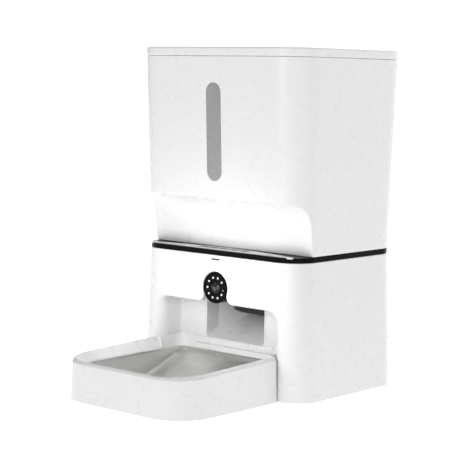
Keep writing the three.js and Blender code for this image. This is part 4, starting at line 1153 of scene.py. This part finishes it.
# ---------- chute ----------
@dataclass
class Chute(Assembly):
    """The food chute behind the mouth: side walls, ramp and rolled lip."""

    base: Base
    half: float = 50.6
    neck_half: float = 34.0
    straight: float = 24.0
    neck_y: float = 8.0
    cup_drop: float = 5.5
    lip_z: float = 61.8
    slope: float = 20.0
    thick: float = 2.6
    corner: float = 4.0
    lip_half: float = 67.5
    lip_drop: float = 8.6
    lip_reach: float = 4.6
    cup_gap: float = 0.3
    foot_round: float = 2.0
    tab_places: Point = (-14.0, 34.0)

    def ramp_z(self, y: float) -> float:
        """Give the ramp's height at a Y."""
        return self.lip_z + (y - self.base.panel_y) * math.tan(math.radians(self.slope))

    def section(self, y: float) -> Ring:
        """Give the closed section of the channel at a Y."""
        elbow = self.base.panel_y + self.straight
        share = max(0.0, (y - elbow) / (self.neck_y - elbow))
        half = self.half + (self.neck_half - self.half) * share
        floor, top, thick = self.ramp_z(y), self.base.chute_top - 0.3, self.thick
        foot, outside = self.foot_round, half + self.thick
        inner = [(half, top - 0.6), (half, (top + floor) / 2)]
        inner += arc(half - self.corner, floor + self.corner, self.corner, 0, -90, 6) + [(half / 2, floor)]
        outer = [(outside, top - 0.5), (outside, floor - thick + foot)]
        outer += arc(outside - foot, floor - thick + foot, foot, 0, -90, 4)[1:] + [(half / 2, floor - thick)]
        side = inner[::-1] + [(half + 0.6, top), (outside - 0.6, top)] + outer
        return facing(side + [(-x, z) for x, z in reversed(side)], y)

    def build_channel(self) -> None:
        """Make the channel, cut clear of the dispensing cup."""
        panel = self.base.panel_y
        stations = [panel + self.straight * k / 4 for k in range(4)]
        elbow = panel + self.straight
        stations += [elbow - 1.5, elbow, elbow + 1.5]
        stations += [elbow + (self.neck_y - elbow) * k / 6 for k in range(1, 7)]
        channel = self.shop.skin("chute_channel", [self.section(y) for y in sorted(stations)])
        cup = self.layout.box("dispensing_cup")
        space = circle(0, cup.middle.y, cup.size.x / 2 + self.cup_gap)
        floor = self.ramp_z(self.neck_y) + self.cup_drop - self.cup_gap
        self.shop.cut(channel, "cup_space", [level(space, z) for z in (floor, 200.0)])
        self.shop.combine(channel, self.lip(), Solid.JOIN)
        self.shop.finish(channel, Slot.WHITE, "base", ["chute"])

    def lip(self) -> Object:
        """Make the rolled lip in front of the back wall, with its two small tabs."""
        panel, drop = self.base.panel_y, self.lip_drop
        front = panel - self.lip_reach
        profile = bezier((panel - 0.3, self.lip_z), (front, self.lip_z), (front, self.lip_z - drop), 10)
        profile += arc(front + self.thick / 2, self.lip_z - drop, self.thick / 2, 180, 360, 6)[1:]
        profile += [(front + self.thick, self.lip_z - 5.2), (panel - 0.3, self.lip_z - self.thick)]
        end, ease = self.lip_half, 0.6
        rings = []
        for x, inset in ((end, ease), (end - ease, 0.0), (ease - end, 0.0), (-end, ease)):
            back, down = inset * 0.5, inset
            rings.append([
                (x, y + back * (y < panel - 2), z - down * (z > self.lip_z - 3)) for y, z in profile
            ])
        lip = self.shop.skin("chute_lip", rings)
        near, far = panel - 0.8, panel + 3
        section = (
            (near, self.lip_z - 0.05), (far, self.ramp_z(far) - 0.02),
            (far, self.ramp_z(far) - self.thick), (near, self.lip_z - self.thick),
        )
        bridge = [[(x, y, z) for y, z in section] for x in (0.5 - self.half, self.half - 0.5)]
        self.shop.join(lip, "lip_bridge", bridge)
        for x in self.tab_places:
            tab = Outline(7.0, 3.4, 0.8, x=x, y=self.lip_z - drop + 1.2)
            steps = ((front - 0.9, 0.5), (front - 0.6, 0.0), (front + 1.2, 0.0))
            self.shop.join(lip, "lip_tab", [
                tab.inset(inset).upright(y) for y, inset in steps
            ])
        return lip

    def build(self) -> None:
        """Build the chute."""
        self.build_channel()


# ---------- dispenser ----------
@dataclass
class Dispenser(Assembly):
    """The cup, rotor, stirrer and gear train, and the power and sound parts round them."""

    def build(self) -> None:
        """Dress the inner mechanism, which is seen when the hopper is lifted off."""
        self.remake(
            ("dispensing_cup", Slot.INNER, "base", 0.4), ("paddle_rotor", Slot.SILICONE, "rotor", 0.5),
            ("stirring_arm", Slot.NYLON, "rotor", 0.5), ("drive_shaft", Slot.STEEL, "rotor", 0.3),
            ("drive_gear", Slot.NYLON, "rotor", 0.08, 1), ("motor_pinion", Slot.ZINC, "pinion", 0.08, 1),
            ("motor_shaft", Slot.STEEL, "pinion", 0.15), ("gearbox_housing", Slot.INNER, "base", 0.5),
            ("gearbox_plate", Slot.INNER, "base", 0.4), ("gear_motor", Slot.ZINC, "base", 0.6),
            ("battery_box", Slot.INNER, "base", 0.5),
            *((f"battery_cell_{index}", Slot.CELL, "base", 0.6) for index in range(1, 4)),
            ("main_board", Slot.BOARD, "base", 0.2), ("speaker", Slot.INNER, "base", 0.5),
        )


# ---------- bowl tray ----------
BACK_SHARES = (0.97, 0.9, 0.8, 0.725, 0.7, 0.5, 0.25, 0.0)


def even(height: float) -> Callable[[float, float], float]:
    """Give a height that is the same everywhere."""
    return lambda x, y: height


@dataclass
class TrayRow:
    """One level of the tray: an outline that narrows where it enters the mouth."""

    half: float
    front: float
    corner: float
    tongue: float
    step_y: float
    back: float
    rear: float

    def ring(self, z: Callable[[float, float], float]) -> Ring:
        """Give the row's points, each at a height that depends on its place."""
        right = line((0.0, self.front), (self.half - self.corner, self.front), 10)
        right += arc(self.half - self.corner, self.front + self.corner, self.corner, -90, 0, 18)[1:]
        step = min(1.5, max(0.0, (self.half - self.tongue) / 2))
        right += line((self.half, self.front + self.corner), (self.half, self.step_y - step), 8)[1:]
        right += arc(self.half - step, self.step_y - step, step, 0, 90, 4)[1:]
        right += line((self.half - step, self.step_y), (self.tongue, self.step_y + 0.01), 2)[1:]
        right += line((self.tongue, self.step_y + 0.01), (self.tongue, self.back - self.rear), 5)[1:]
        right += arc(self.tongue - self.rear, self.back - self.rear, self.rear, 0, 90, 4)[1:]
        right += [((self.tongue - self.rear) * share, self.back) for share in BACK_SHARES]
        return [(x, y, z(x, y)) for x, y in mirrored(right)]


@dataclass
class Tray(Assembly):
    """The pull-out tray and the steel bowl in it."""

    base: Base
    width: float = 221.5
    reach: float = 180.5
    corner: float = 52.0
    draft: float = 5.5
    front_draft: float = 1.65
    draft_z: float = 80.0
    front_z: float = 53.0
    rear_z: float = 60.0
    rim: float = 19.0
    crest: float = 4.0
    inner_z: float = 45.0
    wall: float = 3.0
    tongue_gap: float = 1.6
    foot: float = 1.5
    bowl_floor: float = 9.0
    bowl_corner: float = 36.0
    bowl_rear_corner: float = 14.0
    bowl_rear_inset: float = 6.6
    bowl_thick: float = 1.2
    bowl_draft: float = 9.0
    flange: float = 3.0
    lip_room: float = 68.5
    lip_under: float = 52.2
    bowl_soft: float = 5.0
    floor_edge: float = 30.0
    pocket_edge: float = 24.0
    pocket_drop: float = 1.6
    pocket_heights: tuple[float, ...] = (40.0, 36.0, 33.0, 27.5, 20.0, 14.0)
    bowl_slope: tuple[Point, ...] = (
        (16.0, 68.6), (24.0, 43.6), (27.5, 33.6), (33.0, 14.6), (36.0, 6.0), (39.5, 1.6),
    )

    @property
    def front(self) -> float:
        """The tray's front Y at the floor."""
        return self.layout.lower(0).front - self.reach

    @property
    def seat(self) -> float:
        """The Y where the tray stops in front of the base."""
        return self.layout.lower(0).front - 1.0

    @property
    def back(self) -> float:
        """The Y of the tongue's rear end."""
        return self.base.panel_y - self.tongue_gap

    @property
    def bowl_front(self) -> float:
        """The bowl's front Y at its rim."""
        return self.front + self.rim

    @property
    def bowl_back(self) -> float:
        """The bowl's rear Y at its rim."""
        return self.back - self.bowl_rear_inset

    @property
    def bowl_half(self) -> float:
        """Half the bowl's width at its rim."""
        return self.width / 2 - self.draft / 2 - self.rim

    def crest_z(self, x: float, y: float) -> float:
        """Give the height of the rim's crest at a place, low under the chute's lip."""
        rise = (self.rear_z - self.front_z) / (self.seat - self.front)
        top = self.front_z + rise * (y - self.front)
        if y > self.bowl_back + 3 and abs(x) < self.lip_room:
            return min(top, self.lip_under)
        return top

    def row(self, z: float, inset: float) -> TrayRow:
        """Give the tray's outline at a height, inset on all sides."""
        share = z / self.draft_z
        half = self.width / 2 - self.draft * share - inset
        front = self.front + self.front_draft * share + inset
        tongue = min(half, self.base.mouth_half - self.tongue_gap - inset)
        return TrayRow(
            half, front, self.corner - inset, tongue, self.seat - inset,
            self.back - inset, max(1.0, 2.0 - inset),
        )

    def inner_row(self, z: float, grow: float) -> TrayRow:
        """Give the outline of the bowl's pocket at a height, grown on all sides."""
        size = self.bowl_size(z)
        half, step = size.width / 2 + grow, min(self.seat, size.back - self.bowl_rear_corner - 4)
        return TrayRow(
            half, size.front - grow, size.corner + grow, half, step,
            size.back + grow, size.rear_corner + grow,
        )

    def bowl_profile(self) -> list[Point]:
        """Give the bowl's rear slope as (height, Y) stations, from the floor to the rim."""
        back = self.bowl_back
        slope = [(self.bowl_floor, 94.4), *self.bowl_slope, (self.inner_z, 0.0)]
        return [(z, back - before) for z, before in slope]

    def bowl_size(self, z: float) -> Outline:
        """Give the bowl's inner outline at a height."""
        stations = self.bowl_profile()
        rear = stations[-1][1]
        for (z0, y0), (z1, y1) in zip(stations, stations[1:]):
            if z0 <= z <= z1:
                rear = y0 + (y1 - y0) * (z - z0) / (z1 - z0)
        down = min(1.0, max(0.0, (self.inner_z - z) / (self.inner_z - self.bowl_floor)))
        shift = self.bowl_draft * down
        front = self.bowl_front + shift
        return Outline(
            2 * (self.bowl_half - shift), rear - front, self.bowl_corner - shift, self.bowl_rear_corner,
            y=(front + rear) / 2,
        )

    def bowl_ring(self, z: float, grow: float, height: float | None = None) -> Ring:
        """Give one ring of the bowl."""
        return self.bowl_size(z).inset(-grow).ring(z if height is None else height, 14, 6)

    def build_bowl(self) -> None:
        """Press the bowl: floor, walls, rear slope and rolled rim, in one thickness of sheet."""
        top, floor, soft, flange = self.inner_z, self.bowl_floor, self.bowl_soft, self.flange
        under = floor - self.bowl_thick
        heights = [top - (top - floor - soft) * k / 22 for k in range(23)]
        inner = [self.bowl_ring(z, 0.0) for z in heights[1:]]
        for a in turns(5, 1):
            rise, inset = soft * (1 - math.sin(a)), soft * (1 - math.cos(a)) * 0.8
            inner.append(self.bowl_ring(floor + rise, -inset))
        rolled = (
            (flange - 0.6, -1.3), (flange, -1.1), (flange + 0.1, -0.6), (flange - 0.2, -0.1),
            (flange - 0.8, 0.1), (1.2, 0.0), (0.5, -0.3),
        )
        rim = [self.bowl_ring(top, grow, top + rise) for grow, rise in rolled]
        outer = [self.bowl_ring(z, self.bowl_thick, max(z - 0.5, under)) for z in heights[2:]]
        outer.append(self.bowl_ring(floor + 0.5, self.bowl_thick - 3, under))
        bottom, centre = (self.bowl_ring(floor, -self.floor_edge, z) for z in (under, floor))
        bowl = self.shop.skin("pressed_bowl", [bottom, *outer[::-1], *rim, *inner, centre])
        self.shop.finish(bowl, Slot.BOWL, "bowl", ["steel_bowl"], 50)

    def build_tray(self) -> None:
        """Mould the tray: outer wall, rounded crest, inward slope, pocket and hollow underside."""
        foot, top, wall = self.foot, self.inner_z, self.wall
        rings = [self.row(foot, inset).ring(even(foot + rise)) for inset, rise in ((0.6, 0.0), (0.1, 0.5))]
        for share in (0.05, 0.35, 0.7, 1.0):
            rings.append(self.row(28 * share + 4, 0.0).ring(
                lambda x, y, s=share: foot + 1 + (self.crest_z(x, y) - self.crest - foot - 1) * s
            ))
        seat = self.flange + 0.4
        outer = self.row(48, 0.0).ring(lambda x, y: self.crest_z(x, y) - self.crest)
        inner = self.inner_row(top, seat).ring(even(top + 0.2))
        for a in turns(8, 1, 118.0):
            share, rise = self.crest * (1 - math.cos(a)) / (self.rim - seat), self.crest * math.sin(a)
            rings.append([
                (ox + (ix - ox) * share, oy + (iy - oy) * share, oz + rise)
                for (ox, oy, oz), (ix, iy, _) in zip(outer, inner)
            ])
        edge = rings[-1]
        for share in (0.35, 0.7, 0.92, 1.0):
            rings.append([tuple(p + (q - p) * share for p, q in zip(a, b)) for a, b in zip(edge, inner)])
        gap, drop = self.bowl_thick + 0.3, self.pocket_drop
        under = self.bowl_floor - drop - wall
        pocket = [(top, seat, top - 1.5), (top, gap, top - 1.5)]
        pocket += [(z, gap, z - drop) for z in (*self.pocket_heights, self.bowl_floor)]
        pocket += [(self.bowl_floor, -self.pocket_edge, z) for z in (self.bowl_floor - drop, under)]
        pocket.append((self.bowl_floor, wall, under))
        pocket += [(z, gap + wall, z - 3) for z in self.pocket_heights[:1:-1]]
        rings += [self.inner_row(at, grow).ring(even(z)) for at, grow, z in pocket]
        skirt = ((34, wall, 36.0), (foot, wall, foot + 0.4), (foot, wall - 0.4, foot))
        rings += [self.row(at, inset).ring(even(z)) for at, inset, z in skirt]
        tray = self.shop.skin("moulded_tray", rings, joined=True)
        self.shop.finish(tray, Slot.WHITE, "tray", ["bowl_tray"], 40)

    def build(self) -> None:
        """Build the tray, its pads and the bowl."""
        self.build_tray()
        self.build_bowl()
        self.remake(*((f"tray_pad_{side}", Slot.RUBBER, "tray", 0.3) for side in SIDES))


# ---------- studio ----------
@dataclass(frozen=True)
class Lamp:
    """A round area light, in metres and watts."""

    name: str
    place: Triple
    size: float
    power: float
    target: Triple

    def hang(self) -> None:
        """Hang the lamp so that it faces its target."""
        light = bpy.data.lights.new(self.name, "AREA")
        light.shape = "DISK"
        light.size = self.size
        light.energy = self.power
        lamp = bpy.data.objects.new(self.name, light)
        lamp.location = self.place
        lamp.visible_camera = False
        lamp.visible_glossy = self.size > 1
        lamp.rotation_euler = (Vector(self.target) - Vector(self.place)).to_track_quat("-Z", "Y").to_euler()
        bpy.context.scene.collection.objects.link(lamp)


LAMPS = (
    Lamp("key_light", (0.2, -2.9, 0.8), 1.5, 16.0, (0, 0, 0.2)),
    Lamp("fill_light", (2.8, -0.9, 1.3), 1.8, 5.0, (0, 0, 0.2)),
    Lamp("top_light", (0, 0.3, 3.2), 2.4, 12.0, (0, 0, 0)),
    Lamp("mouth_light", (0.02, -0.16, 0.15), 0.12, 0.2, (0, 0.06, 0.08)),
)


@dataclass
class Studio:
    """The floor, the light and the camera."""

    bearing: float = 41.12
    pitch: float = 5.82
    roll: float = 1.09
    stand: Triple = (1.2985, -1.4818, 0.4122)
    lens: float = 118.0
    sensor: float = 36.0
    floor_size: float = 14.0
    backdrop_round: float = 2.0
    floor_color: Triple = (0.95, 0.95, 0.95)
    floor_glow: float = 0.65
    sky: float = 0.35
    far_clip: float = 60.0

    def build_floor(self) -> None:
        """Lay a pale floor that rises into a backdrop behind the object."""
        half, bend = self.floor_size / 2, self.backdrop_round
        profile = [(-half, 0.0)]
        profile += [(half * 0.5 + bend * math.sin(a), bend * (1 - math.cos(a))) for a in turns(12)]
        profile.append((half * 0.5 + bend, half))
        data = bpy.data.meshes.new("studio_floor")
        vertices = [(x, y, z) for x in (-half, half) for y, z in profile]
        count = len(profile)
        data.from_pydata(vertices, [], [[k, k + 1, count + k + 1, count + k] for k in range(count - 1)])
        data.shade_smooth()
        floor = bpy.data.objects.new("studio_floor", data)
        bpy.context.scene.collection.objects.link(floor)
        surface = Finish(
            self.floor_color, 0.7, 0.05, glow=self.floor_glow, grain=60, grain_depth=1e-5, wear=2,
            tint_spread=0.005,
        )
        data.materials.append(surface.build("studio_paper"))

    def build_light(self) -> None:
        """Set an even white sky with a soft key from the left and a weak fill."""
        world = bpy.data.worlds.new("studio_sky")
        world.use_nodes = True
        background = world.node_tree.nodes["Background"]
        background.inputs["Color"].default_value = (1, 1, 1, 1)
        background.inputs["Strength"].default_value = self.sky
        bpy.context.scene.world = world
        for lamp in LAMPS:
            lamp.hang()

    def build_camera(self) -> None:
        """Stand the camera with its bearing, pitch and roll."""
        a, p, r = (math.radians(v) for v in (self.bearing, self.pitch, self.roll))
        right = Vector((math.cos(a), math.sin(a), 0))
        ahead = Vector((-math.sin(a) * math.cos(p), math.cos(a) * math.cos(p), -math.sin(p)))
        up = right.cross(ahead)
        side = right * math.cos(r) + up * math.sin(r)
        top = up * math.cos(r) - right * math.sin(r)
        view = bpy.data.cameras.new("view")
        view.lens, view.sensor_width = self.lens, self.sensor
        view.clip_end = self.far_clip
        camera = bpy.data.objects.new("view", view)
        turn = Matrix((side, top, -ahead)).transposed().to_4x4()
        camera.matrix_world = Matrix.Translation(Vector(self.stand)) @ turn
        bpy.context.scene.collection.objects.link(camera)
        bpy.context.scene.camera = camera

    def build(self) -> None:
        """Build the studio."""
        self.build_floor()
        self.build_light()
        self.build_camera()
        bpy.context.scene.view_settings.view_transform = "Standard"


def main() -> None:
    """Build every sub-assembly in order and report its pieces."""
    logging.basicConfig(level=logging.INFO, format="%(message)s")
    shop = Workshop(Layout())
    base = Base(shop)
    assemblies = [
        base, Camera(shop), Chute(shop, base), Tray(shop, base),
        Deck(shop), Hopper(shop), Lid(shop), Dispenser(shop),
    ]
    for assembly in assemblies:
        first = len(shop.pieces)
        assembly.build()
        for name in shop.pieces[first:]:
            log.info("%s: %s", type(assembly).__name__, name)
    Studio().build()


if __name__ == "__main__":
    main()
